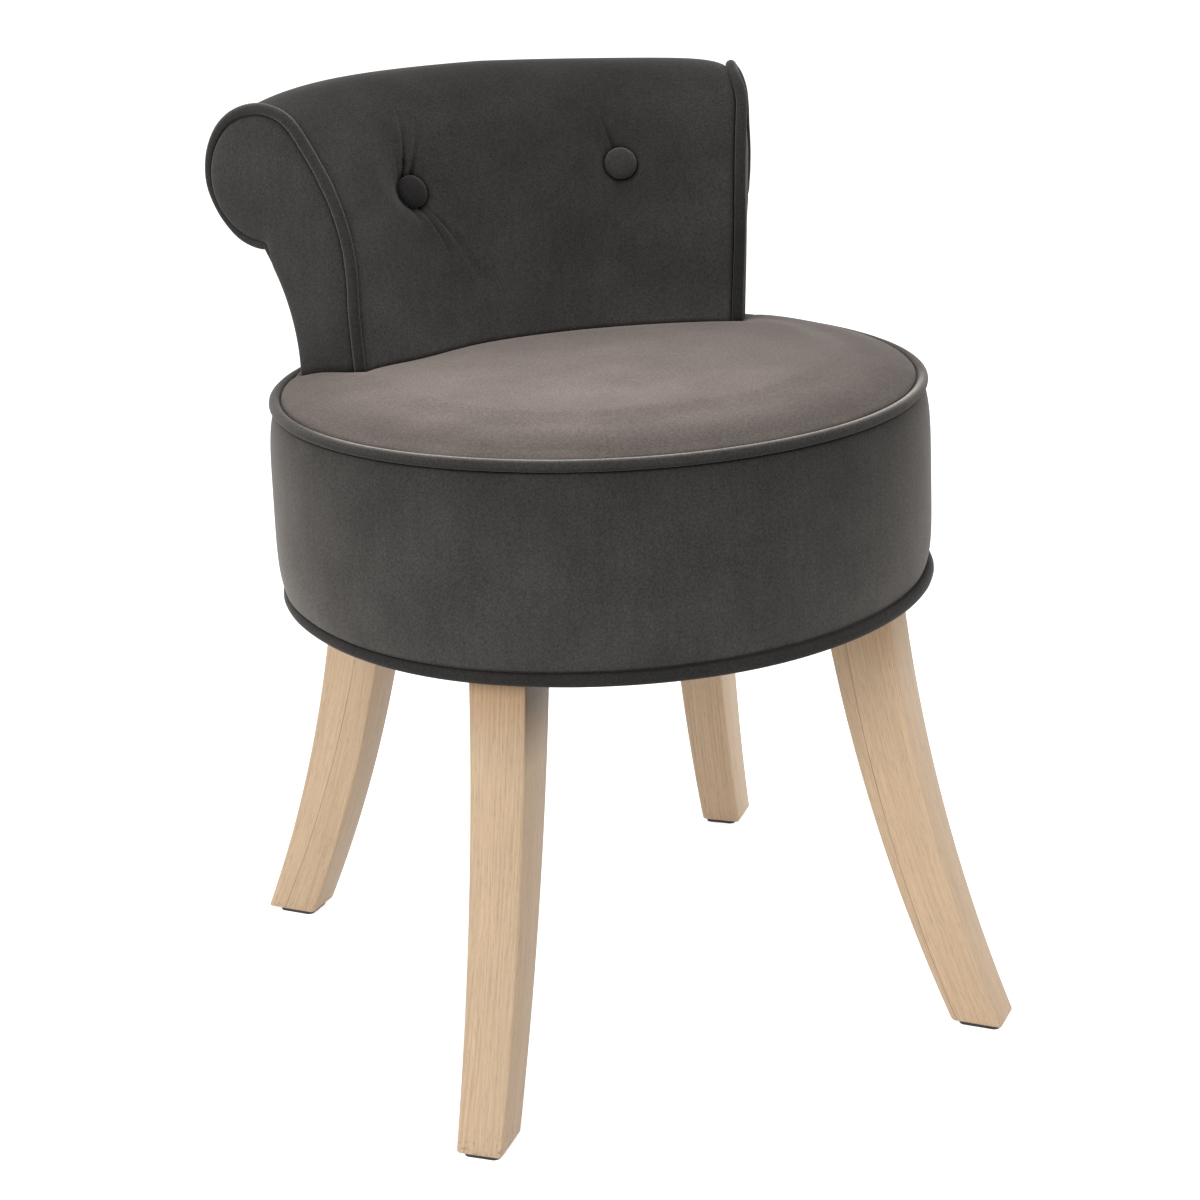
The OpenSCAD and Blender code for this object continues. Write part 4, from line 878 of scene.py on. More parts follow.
@dataclass
class Back:
    """The curved scroll back. Its section is a distance behind the front seam and a height."""

    drum_y: float
    axis_dy: float = -157.063
    front_r: float = 258.0
    half_angle: float = 31.0
    depth: float = 47.0
    low_z: float = 361.0
    front_z: float = 455.0
    bend_r: float = 134.897
    bend_angle: float = 46.809
    roll: Pair = (72.0, 522.0)
    roll_r: float = 43.0
    neck: Pair = (70.718, 479.019)
    neck_angle: float = -91.708
    hollow: Pair = (177.5, 404.0)
    hollow_r: float = 130.5
    cord_r: float = 3.7
    front_crown: float = 5.0
    roll_crown: float = 14.3
    crown_power: Pair = (4.0, 14.0)
    crown_lean: float = 0.55
    crest_drawn: float = 9.6
    rear_drawn: float = 6.0
    foot_drawn: float = 3.2
    left_bow: float = 2.6
    left_shoulder: float = 2.4
    buttons: dict = field(default_factory=lambda: {Side.LEFT: (16.2, 510.5, 9.0),
                                                   Side.RIGHT: (14.5, 514.0, 7.0)})
    button_d: float = 21.5
    cord_d: float = 2.0
    join_rise: dict = field(default_factory=lambda: {Side.LEFT: 0.4, Side.RIGHT: 2.2})
    section_step: float = 3.2
    end_gap: float = 2.4
    rear_gap: float = 1.6
    pull_reach: float = 15.0
    sewn_down: float = 0.6
    steps_across: int = 104

    @property
    def half(self) -> float:
        """Half of the back's angle, in radians."""
        return math.radians(self.half_angle)

    @property
    def axis_y(self) -> float:
        """The back's axis in Y."""
        return self.drum_y + self.axis_dy

    def outline(self, step: float) -> tuple[Array, Array]:
        """The front skin's section from the deck up over the roll to the neck.

        Args:
            step: distance between points.

        Returns:
            The points and their outward normals.
        """
        count = [max(2, round(n / step)) for n in (
            self.front_z - self.low_z, math.radians(self.bend_angle) * self.bend_r,
            math.radians(180 - self.bend_angle - self.neck_angle) * self.roll_r)]
        flat = np.column_stack([np.zeros(count[0]),
                                np.linspace(self.low_z, self.front_z, count[0], endpoint=False)])
        lean = math.pi - np.radians(np.linspace(0, self.bend_angle, count[1], endpoint=False))
        over = np.radians(np.linspace(180 - self.bend_angle, self.neck_angle, count[2] + 1))
        spots = [flat, arc((self.bend_r, self.front_z), self.bend_r, lean), arc(self.roll, self.roll_r, over)]
        outs = [np.tile((-1.0, 0.0), (count[0], 1)), arc((0, 0), 1.0, lean), arc((0, 0), 1.0, over)]
        return np.vstack(spots), np.vstack(outs)

    def swell(self, share: Array) -> Array:
        """How far the padding stands out, midway between the ends, by the share of the section."""
        along = [0.0, 0.12, 0.25, 0.40, 0.55, 0.62, 0.70, 0.80, 0.90, 1.0]
        front, roll = self.front_crown, self.roll_crown
        out = [0.7 * front, 0.8 * front, front, 0.45 * roll, 0.72 * roll, 0.92 * roll, roll, 0.85 * roll,
               0.5 * roll, 0.0]
        return np.interp(share, along, out)

    def place(self, section: Array, angle: Array) -> Array:
        """Puts section points at angles round the back's axis, in radians from +Y."""
        r = self.front_r + section[:, 0]
        return np.column_stack([r * np.sin(angle), self.axis_y + r * np.cos(angle), section[:, 1]])

    def unroll(self, where: Array) -> tuple[Array, Array, Array]:
        """Radius from the back's axis, angle and height of points."""
        y = where[:, 1] - self.axis_y
        return np.hypot(where[:, 0], y), np.arctan2(where[:, 0], y), where[:, 2]

    def inside(self, where: Array) -> Array:
        """How far points lie inside the back's footprint on the seat; below nought outside it."""
        r, angle, _ = self.unroll(where)
        end = (self.half - np.abs(angle)) * r - 0.5
        behind = r - self.front_r
        return np.minimum(np.minimum(behind + self.front_crown * 0.8, self.depth - behind), end)

    def settle(self, where: Array) -> Array:
        """Moves the plain section to the sewn shape: drawn in at the right end and fuller at the left one.

        Args:
            where: places in millimetres.

        Returns:
            The same places as they lie on the sewn back.
        """
        r, angle, z = self.unroll(where)
        behind = r - self.front_r
        end = np.clip(np.abs(angle) / self.half, 0, 1.1) ** 6
        right = angle > 0
        crest = ease((behind - 33) / 37) * ease((z - 475) / 50) * (1 - 0.5 * ease((behind - 80) / 35))
        rear = ease((behind - 20) / 25) * (1 - ease((z - 470) / 40)) * (1 - 0.55 * ease((z - 390) / 60))
        foot = (1 - ease((behind - 10) / 20)) * (1 - ease((z - 400) / 80))
        bow = bell(z, 445, 32) * (1 - ease((behind - 10) / 25))
        drawn = np.where(right, self.crest_drawn * crest + self.rear_drawn * rear + self.foot_drawn * foot,
                         -self.left_bow * bow)
        angle = angle - np.sign(angle) * drawn * end / r
        off = np.column_stack([behind - self.roll[0], z - self.roll[1]])
        far = np.linalg.norm(off, axis=1)
        turn = np.degrees(np.arctan2(off[:, 1], off[:, 0]))
        push = self.left_shoulder * bell(turn, 124, 26) * end * ease((far - 10) / 25)
        push = np.where(right, 0.3 * push, push)
        spot = np.column_stack([behind, z]) + off / np.maximum(far, 1)[:, None] * push[:, None]
        return self.place(spot, angle)

    def button_seat(self, side: Side) -> tuple[Array, Array]:
        """A button's place on the front's seam line, and the ways to its right, above it and out of it."""
        angle, height, _ = self.buttons[side]
        lean = math.asin((height - self.front_z) / self.bend_r)
        turn = math.radians(angle) * side.value
        spot = self.place(np.array([(self.bend_r * (1 - math.cos(lean)), height)]), np.array([turn]))[0]
        out = np.array([-math.cos(lean) * math.sin(turn), -math.cos(lean) * math.cos(turn), math.sin(lean)])
        right = np.cross((0, 0, 1), out)
        right /= np.linalg.norm(right)
        return spot, np.array([right, np.cross(out, right), out])

    def off_button(self, where: Array, side: Side) -> Array:
        """Where points lie round a button: to its right, above it, and out along its axis."""
        spot, ways = self.button_seat(side)
        return ways @ (where - spot).T

    def cushion(self) -> None:
        """The padded front and roll in one pad, sunk at its buttons, with the creases they pull."""
        section, outs = self.outline(self.section_step)
        count = len(section)
        share = np.linspace(0, 1, count)
        inner_i = np.arange(count - 1, -1, -3)
        inset = np.interp(share[inner_i], [0, 0.82, 0.93, 1.0], [16.8, 16.8, 6.0, 1.6])
        inner = section[inner_i] - outs[inner_i] * inset[:, None]
        ring = np.vstack([section, inner])
        obj = spun("back_cushion", [(self.front_r + s, z) for s, z in ring], self.axis_y, self.steps_across,
                   -self.half_angle, 2 * self.half_angle)
        r, angle, z = self.unroll(points(obj))
        flat = np.column_stack([r - self.front_r, z])
        which = np.argmin(((flat[:, None, :] - ring[None]) ** 2).sum(axis=2), axis=1)
        outer = which < count
        row = np.minimum(which, count - 1)
        limit = self.half - np.arcsin(self.end_gap / r)
        angle = angle * limit / self.half
        u = np.clip(np.abs(angle) / limit, 0, 1)
        across = 1 - u ** np.where(angle < 0, self.crown_power[0], self.crown_power[1])
        across *= 1 - self.crown_lean * (angle > 0) * u * ease((share[row] - 0.3) / 0.2)
        rise = self.swell(share[row]) * across - 1.4 * np.clip((u - 0.975) / 0.025, 0, 1)
        rise = np.where(outer, rise, 0)
        place = self.place(np.where(outer[:, None], section[row], flat), angle)
        out = np.column_stack([outs[row, 0] * np.sin(angle), outs[row, 0] * np.cos(angle), outs[row, 1]])
        where = place + out * rise[:, None]
        held = ~outer | (u > 0.985) | (share[row] > 0.985) | (z < self.low_z + 8)
        for side in Side:
            right, up, along = self.off_button(place, side)
            rho = np.hypot(right, up)
            near = outer & (np.abs(along) < 60)
            reach = self.button_d / 2 - 1.0
            pull = np.exp(-np.clip(rho - reach, 0, None) / self.pull_reach)
            sink = np.where(near, pull * (self.buttons[side][2] + rise), 0)
            where -= self.button_seat(side)[1][2] * sink[:, None]
            held |= near & (rho < reach)
        put(obj, where)
        for end in (-1, 1):
            fill(obj, np.abs(angle - end * limit) < 1e-4)
        tidy_mesh(obj, 0.005)
        if len(points(obj)) == len(held):
            inflate(obj, held, 3.0, 2.0, 8)
        refine(obj)
        self.crease(obj)
        _, angle, z = self.unroll(points(obj))
        # Painted light and shade over the back: lighter towards both ends and low down, darker across the
        # middle.
        east, up = angle / math.radians(30), np.clip((z - 480) / 70, -1.3, 1)
        store(obj, "nap_and_shade", np.exp(-0.09 - 0.065 * east - 0.2 * up + 0.28 * east ** 2 + 0.2 * up ** 2))
        put(obj, self.settle(points(obj)))
        hand_in(obj, BACK_VELVET, ["back_front_cover", "back_foam"])

    def crease(self, obj: Piece) -> None:
        """Presses the pull creases that run from the buttons into the cushion's skin."""
        creases = (
            (Side.LEFT, (-3.0, 8.0), (4.0, 52.0), 2.6, 1.5),
            (Side.LEFT, (3.0, 9.0), (15.0, 46.0), 1.9, 1.5),
            (Side.LEFT, (-6.0, 8.0), (-9.0, 34.0), 1.2, 1.5),
            (Side.LEFT, (2.0, -9.0), (14.0, -50.0), 2.3, 1.5),
            (Side.LEFT, (8.0, -14.0), (32.0, -64.0), 2.1, 2.0),
            (Side.LEFT, (-3.0, -10.0), (-1.0, -34.0), 0.6, 2.4),
            (Side.RIGHT, (-2.0, 8.0), (-13.0, 38.0), 2.2, 1.5),
            (Side.RIGHT, (3.0, 9.0), (7.0, 30.0), 0.6, 2.4),
            (Side.RIGHT, (-3.0, -10.0), (-9.0, -32.0), 0.5, 2.6),
        )
        where = points(obj)
        out = rows(obj, "normal")
        push = np.zeros(len(where))
        for side, start, end, deep, wide in creases:
            right, up, along = self.off_button(where, side)
            a, b = np.array(start), np.array(end)
            line = b - a
            t = ((right - a[0]) * line[0] + (up - a[1]) * line[1]) / (line @ line)
            off = (right - a[0]) * line[1] - (up - a[1]) * line[0]
            off /= np.linalg.norm(line)
            fade = np.clip(1 - t, 0, 1) ** 0.6 * np.clip((t + 0.25) / 0.25, 0, 1)
            valley = bell(off, 0, wide) - 0.45 * bell(np.abs(off), 2.1 * wide, wide)
            near = (np.abs(along) < 30) & (t < 1)
            push -= np.where(near, deep * fade * valley, 0)
        put(obj, where + out * push[:, None])

    @property
    def hollow_from(self) -> float:
        """Where the hollow behind starts under the roll, as an angle round the hollow's centre."""
        return math.atan2(self.neck[1] - self.hollow[1], self.neck[0] - self.hollow[0])

    def rear_line(self, curved: int, straight: int) -> Array:
        """The rear's section from the neck down to the seat, in curved and straight steps."""
        turn = np.linspace(self.hollow_from, math.pi, curved + 1)
        low = [(self.depth, z) for z in np.linspace(self.hollow[1], self.low_z, straight)[1:]]
        return np.vstack([arc(self.hollow, self.hollow_r, turn), low])

    def ear(self, section: Array, side: Side) -> Array:
        """How far an end's piping is pinched up over the roll, where its seam turns."""
        turn = np.degrees(np.arctan2(section[:, 1] - self.roll[1], section[:, 0] - self.roll[0]))
        return self.join_rise[side] * bell(turn, 96, 8) * (section[:, 1] > self.roll[1])

    def at_end(self, section: Array, out: Array | float, side: Side) -> Array:
        """Places on an end's plane, at distances out from it."""
        r = self.front_r + section[:, 0]
        x = r * math.sin(self.half) + out * math.cos(self.half)
        y = self.axis_y + r * math.cos(self.half) - out * math.sin(self.half)
        return np.column_stack([side.value * x, y, section[:, 1]])

    def end_cushion(self, side: Side) -> None:
        """The puffed pad that closes an end inside its piping."""
        inset, lap = 2.6, 3.6
        puff, low_puff = {Side.LEFT: (6.0, 0.45), Side.RIGHT: (3.4, 0.1)}[side]
        section, outs = self.outline(2.0)
        section = section - outs * inset
        section[:, 1] += self.ear(section, side)
        reach = self.hollow_r - lap + (lap + 1.0) * ease(np.linspace(-5.0, 1.0, 40))
        hollow = arc(self.hollow, reach, np.linspace(math.pi, self.hollow_from, 40))
        low = np.array([(self.depth + lap, z) for z in np.linspace(self.low_z, self.hollow[1], 20)])
        tip = math.radians(-14.0)
        under = np.linspace(math.radians(self.neck_angle) + 0.08, tip, 40)
        below = arc(self.roll, self.roll_r - inset, under)
        rear = np.vstack([low, hollow[1:], below])
        over = np.arctan2(section[:, 1] - self.roll[1], section[:, 0] - self.roll[0])
        keep = (section[:, 0] < self.roll[0] - 10) | (over > tip)
        front = np.vstack([section[keep & (section[:, 1] > self.low_z - 1)], below[-1:]])
        front = front[(front[:, 1] > self.neck[1] - 30) | (front[:, 0] < self.depth)]

        def pad(a: Array, b: Array) -> Array:
            share = (b + 1) / 2
            f, g = on_line(front, share), on_line(rear, share)
            spot = f + (g - f) * ((a[:, None] + 1) / 2)
            half = np.linalg.norm(g - f, axis=1) / 2
            rise = puff * (1 - np.exp(-half / 15.0)) * np.sqrt(np.clip(1 - a ** 2, 0, 1)) ** 0.9
            rise *= low_puff + (1 - low_puff) * ease((spot[:, 1] - self.low_z) / (self.roll[1] - self.low_z))
            return self.at_end(spot, rise + 0.6, side)

        obj = grid_piece(f"back_end_cushion_{side.words}", 18, 74, pad)
        inward = np.array([-side.value * math.cos(self.half), math.sin(self.half), 0.0])
        close_down(obj, [tuple(inward * 3.0), tuple(inward * 5.6)])
        tidy_mesh(obj)
        refine(obj)
        put(obj, self.settle(points(obj)))
        hand_in(obj, END_VELVET, [f"back_end_cover_{side.words}", f"back_end_pad_{side.words}"])

    def piping(self, side: Side) -> None:
        """The covered cord round an end, from the seat over the roll and back down to the seat."""
        step = 4.0
        count = round((math.pi - self.hollow_from) * self.hollow_r / step)
        section = np.vstack([self.outline(step)[0], self.rear_line(count, 9)[1:]])
        run = run_along(section)
        neck = run[np.argmin(np.linalg.norm(section - np.array(self.neck), axis=1))]
        hidden = ease((run - neck - 6.0) / 55.0)
        beneath = ease((run - neck + 75.0) / 40.0) * (1 - hidden)
        section -= (1.6 * beneath)[:, None] * (section - np.array(self.roll)) / self.roll_r
        section[:, 1] += self.ear(section, side)
        path = self.settle(self.at_end(section, -1.6 * hidden, side))
        curve = bpy.data.curves.new("cord", "CURVE")
        curve.dimensions = "3D"
        curve.bevel_depth = self.cord_r * MM
        curve.bevel_resolution = 4
        curve.use_fill_caps = True
        spline = curve.splines.new("POLY")
        spline.points.add(len(path) - 1)
        for i, spot in enumerate(path):
            spline.points[i].co = (*(spot * MM), 1.0)
            slim = 1 - 0.25 * float(hidden[i]) - 0.22 * float(beneath[i])
            slim += 0.05 * noise.noise(Vector((i * 0.3, side.value * 7.0, 2.0)))
            spline.points[i].radius = slim
        obj = bpy.data.objects.new(f"back_covered_cord_{side.words}", curve)
        bpy.context.scene.collection.objects.link(obj)
        pick(obj)
        bpy.ops.object.convert(target="MESH")
        obj = bpy.context.object
        tidy_mesh(obj)
        # Painted light and shade: the left end's cord gets the lit copy, the right end's cord the darker one.
        finish = LIT_BACK_PIPING_VELVET if side is Side.LEFT else SHADED_PIPING_VELVET
        hand_in(obj, finish, [f"back_piping_{side.words}"], crisp=60)

    def rear_cover(self) -> None:
        """The stretched cloth behind, from the roll's neck down to the seat."""
        line = self.rear_line(23, 12)

        def sheet(a: Array, b: Array) -> Array:
            spot = on_line(line, (1 - b) / 2)
            limit = self.half - np.arcsin(self.rear_gap / (self.front_r + spot[:, 0]))
            return self.place(spot, a * limit)

        obj = grid_piece("back_rear_cloth", 72, 34, sheet)
        apply(obj, "SOLIDIFY", thickness=1.5 * MM, offset=-1.0)
        tidy_mesh(obj, 0.001)
        put(obj, self.settle(points(obj)))
        store(obj, "nap_and_shade", np.ones(len(points(obj))))
        hand_in(obj, BACK_VELVET, ["back_rear_cover"])

    def button(self, side: Side) -> None:
        """A covered button: a low dome whose cloth is gathered at its rim."""
        radius = self.button_d / 2
        profile = [(0.0, 6.6), (0.30, 6.5), (0.55, 6.0), (0.75, 5.2), (0.90, 4.0), (0.98, 2.8), (1.0, 1.9),
                   (0.97, 1.0), (0.88, 0.3), (0.70, 0.0), (0.0, 0.0)]
        profile = [(r * radius, z) for r, z in profile]
        obj = spun(f"tuft_button_{side.words}", profile, 0.0, 56)
        where = points(obj)
        rho = np.hypot(where[:, 0], where[:, 1])
        angle = np.arctan2(where[:, 0], where[:, 1])
        gather = 0.16 * np.clip((rho / radius - 0.6) / 0.4, 0, 1) * ripple(angle, 30, 4.0 + side.value)
        where *= (1 + gather / radius)[:, None]
        spot, ways = self.button_seat(side)
        where[:, 2] -= self.buttons[side][2] - self.sewn_down
        put(obj, spot + where @ ways)
        tidy_mesh(obj)
        refine(obj)
        # The left button gets the shaded copy of the velvet: painted shade.
        finish = SHADED_BUTTON_VELVET if side is Side.LEFT else BUTTON_VELVET
        hand_in(obj, finish, [f"back_button_{side.words}"], crisp=60)

    def cords(self) -> None:
        """The twisted cords that pull the buttons in, each from its button to its anchor."""
        name = "back_button_cords"
        ends = points(frame["nodes"][name])
        parts = []
        for side in Side:
            own = ends[ends[:, 0] * side.value > 0]
            spot, ways = self.button_seat(side)
            start = spot - ways[2] * (self.buttons[side][2] - self.sewn_down)
            stop = own[own[:, 1] > own[:, 1].max() - 0.5].mean(axis=0)
            way = stop - start
            length = float(np.linalg.norm(way))
            deselect()
            bpy.ops.mesh.primitive_cylinder_add(vertices=12, radius=self.cord_d / 2 * MM, depth=length * MM)
            part = bpy.context.object
            with editing():
                bpy.ops.mesh.bisect(plane_co=(0, 0, 0), plane_no=(0, 0, 1))
            turn = np.array(Vector(way).to_track_quat("Z", "Y").to_matrix())
            put(part, points(part) @ turn.T + (start + stop) / 2)
            parts.append(part)
        deselect()
        for part in parts:
            part.select_set(True)
        bpy.context.view_layer.objects.active = parts[0]
        bpy.ops.object.join()
        parts[0].name = "tuft_cords"
        hand_in(parts[0], CORD_BLACK, [name], crisp=40)

    def build(self) -> None:
        """Builds the cushion, the ends, the pipings, the rear cover, the buttons and their cords."""
        self.cushion()
        self.rear_cover()
        self.cords()
        for side in Side:
            self.end_cushion(side)
            self.piping(side)
            self.button(side)


@dataclass
class Legs:
    """The four sabre legs: tapered square posts bent along an arc, with softened edges."""

    centre_y: float
    shift: float = 3.5
    angle: float = 47.6
    top_reach: float = 166.7
    sweep: float = 81.0
    bend_r: float = 1055.0
    foot_z: float = 2.8
    top_z: float = 273.4
    top: Pair = (41.6, 35.6)
    foot: Pair = (32.4, 28.4)
    top_out: float = 1.8
    top_aside: dict = field(default_factory=lambda: {corner: 2.7 for corner in Corner} | {
        Corner.BACK_RIGHT: 5.4})
    foot_aside: dict = field(default_factory=lambda: {Corner.BACK_RIGHT: 1.6})
    foot_out: dict = field(default_factory=lambda: {Corner.BACK_LEFT: 4.2})
    edge: float = 2.2
    steps: int = 30
    glue: dict = field(default_factory=lambda: {
        Corner.FRONT_LEFT: (60.0, 60.0), Corner.BACK_RIGHT: (-60.0, -60.0), Corner.BACK_LEFT: (-4.0, 4.6),
        Corner.FRONT_RIGHT: (-7.0, -12.0)})
    # How many knots each foot has, and how deep the painted shadow of the drum at the top of each leg is.
    knots_and_shadow: dict = field(default_factory=lambda: {
        Corner.FRONT_LEFT: 1.0, Corner.BACK_LEFT: 0.6, Corner.FRONT_RIGHT: 0.3, Corner.BACK_RIGHT: 0.3})
    # Each leg's brightness: painted light that lifts the legs in the drum's shade and tones down the key-lit
    # front left.
    tone: dict = field(default_factory=lambda: {
        Corner.FRONT_LEFT: 0.95, Corner.BACK_LEFT: 1.03, Corner.FRONT_RIGHT: 1.10, Corner.BACK_RIGHT: 1.16})

    def reach(self, z: Array | float) -> Array | float:
        """Distance of the leg's centre line from the drum's axis at a height."""
        chord = np.array([-self.sweep, self.top_z - self.foot_z])
        middle = np.array([self.top_reach + self.sweep / 2, (self.top_z + self.foot_z) / 2])
        length = float(np.linalg.norm(chord))
        sag = math.sqrt(self.bend_r ** 2 - (length / 2) ** 2)
        centre = middle + sag * np.array([chord[1], -chord[0]]) / length
        return centre[0] - np.sqrt(self.bend_r ** 2 - (z - centre[1]) ** 2)

    def section(self, z: float) -> Array:
        """The leg's four corners at a height, in its own plane."""
        share = (z - self.foot_z) / (self.top_z - self.foot_z)
        deep, wide = (f + (t - f) * share for f, t in zip(self.foot, self.top))
        mid = float(self.reach(z)) + self.top_out * share
        signs = ((-1, -1), (1, -1), (1, 1), (-1, 1))
        return np.array([(mid + i * deep / 2, j * wide / 2, z) for i, j in signs])

    def post(self) -> Piece:
        """One leg in its own plane: a plane at the foot, extruded up the bend and bevelled."""
        deselect()
        bpy.ops.mesh.primitive_plane_add(size=MM)
        obj = bpy.context.object
        put(obj, self.section(self.foot_z)[[0, 1, 3, 2]])
        for z in np.linspace(self.foot_z, self.top_z, self.steps + 1)[1:]:
            with editing(everything=False):
                bpy.ops.mesh.extrude_region_move(TRANSFORM_OT_translate={"value": (0, 0, MM)})
            chosen = np.empty(len(obj.data.vertices), bool)
            obj.data.vertices.foreach_get("select", chosen)
            where = points(obj)
            corners = self.section(float(z))
            middle = corners.mean(axis=0)
            for i in np.nonzero(chosen)[0]:
                way = where[i, :2] - where[chosen, :2].mean(axis=0)
                where[i] = min(corners, key=lambda c: -float(np.sign(way) @ np.sign(c[:2] - middle[:2])))
            put(obj, where)
        tidy_mesh(obj)
        apply(obj, "BEVEL", width=self.edge * MM, segments=3, limit_method="ANGLE",
              angle_limit=math.radians(40))
        return obj

    def grain(self, obj: Piece, own: Array, corner: Corner) -> None:
        """Stores each point's place in the straightened leg, for the wood's grain, glue line and knots, the
        painted shadow at its top and its brightness, which is painted light.
        """
        flat = np.column_stack([own[:, 0] - self.reach(own[:, 2]), own[:, 1], own[:, 2]])
        offset = np.array([corner.value[0] * 170.0, corner.value[1] * 90.0, corner.value[1] * 300.0])
        store(obj, "grain", (flat + offset) * MM)
        height = (own[:, 2] - self.foot_z) / (self.top_z - self.foot_z)
        high, low = self.glue[corner]
        gap = (flat[:, 0] - low - (high - low) * height) * MM
        store(obj, "board", np.column_stack([gap, np.full_like(gap, self.knots_and_shadow[corner]), height]))
        store(obj, "tone", np.full(len(own), self.tone[corner]))

    def build(self) -> None:
        """Models one leg and copies it to the four corners."""
        first = self.post()
        own = points(first)
        for corner in Corner:
            obj = first.copy()
            obj.data = first.data.copy()
            obj.name = f"sabre_leg_{corner.words}"
            bpy.context.scene.collection.objects.link(obj)
            turn = math.radians(self.angle)
            height = (own[:, 2] - self.foot_z) / (self.top_z - self.foot_z)
            aside = own[:, 1] - self.top_aside[corner] * height - self.foot_aside.get(corner, 0)
            outer = np.clip((own[:, 0] - self.reach(own[:, 2])) / self.foot[0] + 0.5, 0, 1)
            low = np.clip(1 - height, 0, 1)
            along = own[:, 0] + self.foot_out.get(corner, 0) * low ** 1.5 * outer
            x = along * math.cos(turn) - aside * math.sin(turn)
            y = along * math.sin(turn) + aside * math.cos(turn)
            put(obj, np.column_stack([corner.value[0] * x, self.centre_y - self.shift + corner.value[1] * y,
                                      own[:, 2]]))
            tidy_mesh(obj, 0.0005)
            self.grain(obj, own, corner)
            hand_in(obj, LEG_WOOD, [f"leg_{corner.words}"], crisp=35)
        bpy.data.objects.remove(first)


@dataclass
class Underside:
    """The dust cloth below the drum."""

    drum: Drum
    cloth_r: float = 194.0
    rest_z: float = 273.2
    rim_z: float = 272.2
    thick: float = 0.6

    def build(self) -> None:
        """A thin cloth, drawn flat at its rim and a little slack between the legs."""
        def cloth(a: Array, b: Array) -> Array:
            x, y = disc(a, b, self.cloth_r)
            r, angle = np.hypot(x, y), np.arctan2(x, y)
            rim = np.clip((r - 186) / 5, 0, 1)
            slack = 0.9 * np.clip(1 - (r / 120) ** 2, 0, 1)
            slack += 0.3 * ripple(angle, 26, 9.0) * np.exp(-(190 - r) / 30)
            z = self.rest_z + (self.rim_z - self.rest_z) * rim - slack * (1 - rim)
            return np.column_stack([x, y + self.drum.centre_y, z])

        obj = grid_piece("dust_cloth", 80, 80, cloth)
        apply(obj, "SOLIDIFY", thickness=self.thick * MM, offset=0.0)
        tidy_mesh(obj, 0.001)
        hand_in(obj, DUST_CLOTH, ["dust_cover"], crisp=60)


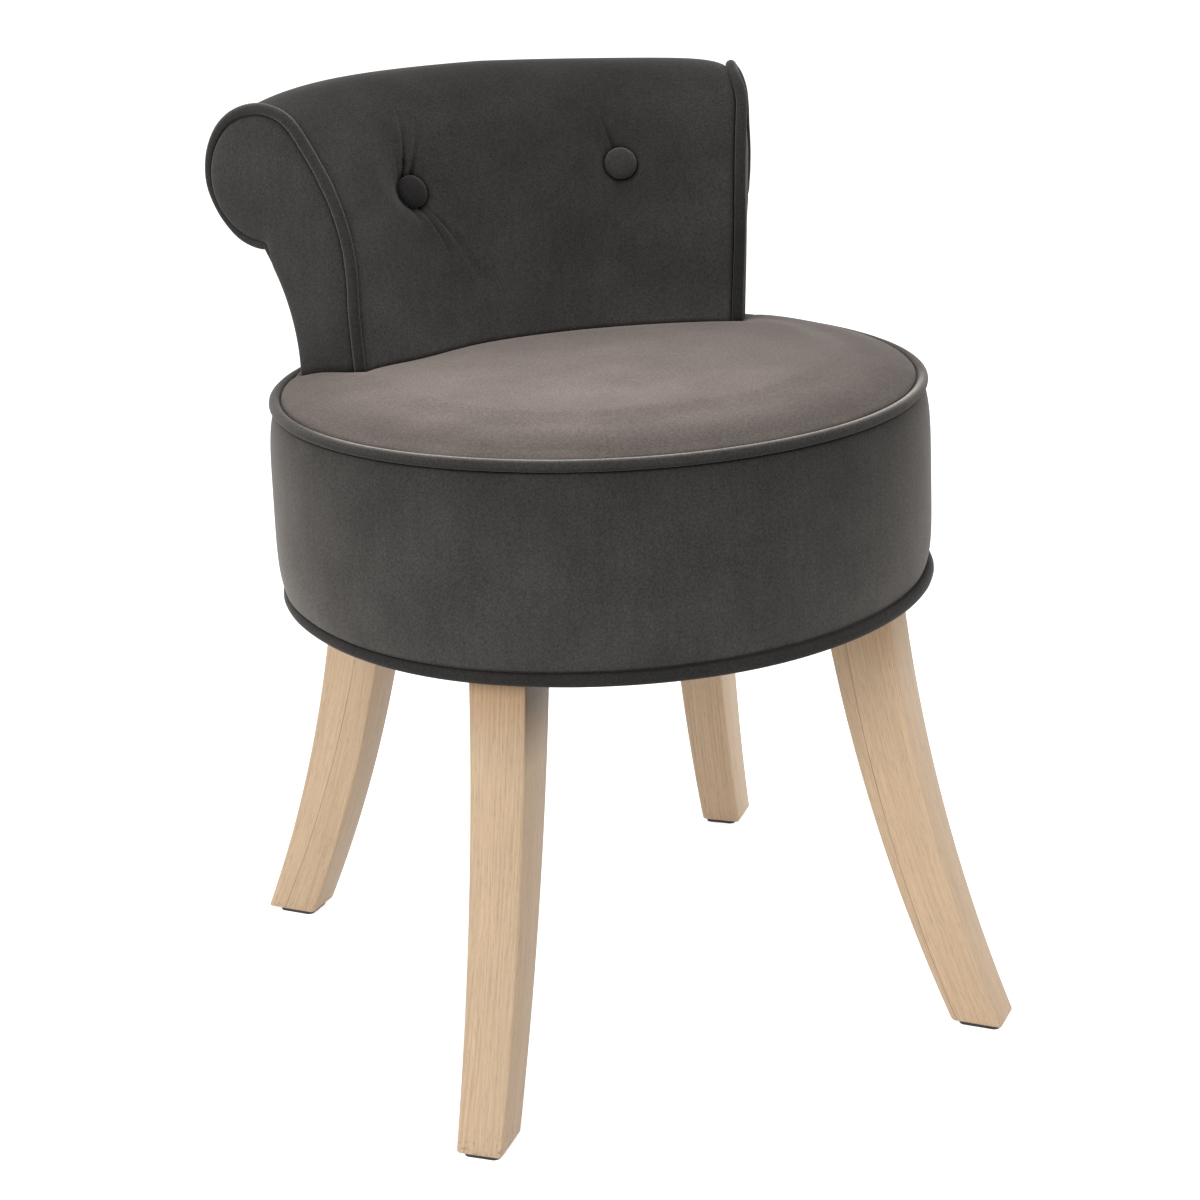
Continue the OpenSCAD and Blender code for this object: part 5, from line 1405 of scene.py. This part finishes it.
class Studio:
    """Camera, lights, floor and world."""

    focal_px: float = 2427.78
    frame_px: float = 1200.0
    sensor_mm: float = 36.0
    azimuth: float = -22.89
    elevation: float = 18.23
    distance: float = 1551.65
    target: tuple[float, float, float] = (-4.56, 0.0, 253.71)
    roll: float = -2.3

    def __init__(self, drum: Drum) -> None:
        """Takes the drum's place, from which the camera's aim is counted."""
        self.drum_y = drum.centre_y

    def camera(self) -> None:
        """Sets the camera at the photograph's view."""
        az, el, roll = (math.radians(v) for v in (self.azimuth, self.elevation, self.roll))
        away = Vector((math.sin(az) * math.cos(el), -math.cos(az) * math.cos(el), math.sin(el)))
        right = (-away).cross(Vector((0, 0, 1))).normalized()
        up = right.cross(-away)
        turned_right = right * math.cos(roll) + up * math.sin(roll)
        turned_up = up * math.cos(roll) - right * math.sin(roll)
        spot = (Vector(self.target) + Vector((0, self.drum_y, 0)) + away * self.distance) * MM
        bpy.ops.object.camera_add(location=spot)
        camera = bpy.context.object
        axes = Matrix((turned_right, turned_up, away)).transposed().to_4x4()
        camera.matrix_world = Matrix.Translation(spot) @ axes
        camera.data.sensor_width = self.sensor_mm
        camera.data.lens = self.focal_px * self.sensor_mm / self.frame_px
        camera.data.clip_end = 50
        bpy.context.scene.camera = camera

    def lamp(self, name: str, spot: Sequence[float], aim: Sequence[float], size: float, power: float) -> None:
        """Adds one soft square lamp that aims at a point, in metres."""
        bpy.ops.object.light_add(type="AREA", location=spot)
        lamp = bpy.context.object
        lamp.name = name
        lamp.data.size = size
        lamp.data.energy = power
        lamp.rotation_euler = (Vector(aim) - Vector(spot)).to_track_quat("-Z", "Y").to_euler()

    def floor(self) -> None:
        """A wide pale floor that reads as white to the camera and keeps a faint shadow."""
        bpy.ops.mesh.primitive_plane_add(size=40, location=(0, 0, 0))
        floor = bpy.context.object
        floor.name = "studio_floor"
        graph = Graph(bpy.data.materials.new("Studio floor"))
        material = graph.dress(Base_Color=(0.80, 0.80, 0.80, 1.0), Roughness=0.9, Specular_IOR_Level=0.0)
        matt = graph.nodes["Principled BSDF"].outputs[0]
        glow = graph.add("Emission", {"Color": WHITE, "Strength": 0.80})
        soft = graph.add("AddShader", {0: glow.outputs[0], 1: matt})
        graph.show(matt, soft.outputs[0], "Material Output")
        floor.data.materials.append(material)

    def world(self) -> None:
        """An even pale surround, white to the camera."""
        world = bpy.data.worlds.new("Studio")
        bpy.context.scene.world = world
        graph = Graph(world)
        lit = graph.nodes["Background"]
        graph.wire(lit, {"Color": WHITE, "Strength": 0.55})
        white = graph.add("Background", {"Color": WHITE})
        graph.show(lit.outputs[0], white.outputs[0], "World Output")

    def build(self) -> None:
        """Sets everything that isn't part of the object."""
        bpy.context.scene.view_settings.view_transform = "Standard"
        self.world()
        self.floor()
        middle = (0.0, 0.0, 0.35)
        self.lamp("Key lamp", (-1.9, -1.4, 1.9), middle, 1.6, 37)
        self.lamp("Fill lamp", (2.0, -1.6, 1.2), middle, 1.8, 6)
        self.lamp("Top lamp", (0.0, 0.6, 2.4), middle, 1.8, 17)
        self.camera()


def dress_nodes() -> None:
    """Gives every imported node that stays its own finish."""
    finishes = {finish.slot: finish for finish in (
        GLIDE_BLACK, ZINC_STEEL, FOAM, PLYWOOD, FRAME_WOOD, CORD_BLACK, DUST_CLOTH, LEG_WOOD, SEAT_VELVET,
        BAND_VELVET, BACK_VELVET, END_VELVET, BUTTON_VELVET, PIPING_VELVET)}
    slots = {part["node"]: part["material_slot"] for part in frame["record"]["subparts"]}
    for name, obj in frame["nodes"].items():
        obj.data.materials.clear()
        obj.data.materials.append(finishes[slots[name]].material())


def main() -> None:
    """Builds the studio and the stool."""
    logging.basicConfig(level=logging.INFO, format="%(message)s")
    drum = Drum()
    back = Back(drum.centre_y)
    Studio(drum).build()
    dress_nodes()
    drum.build(back)
    back.build()
    Legs(drum.centre_y).build()
    Underside(drum).build()
    deselect()


if __name__ == "__main__":
    main()
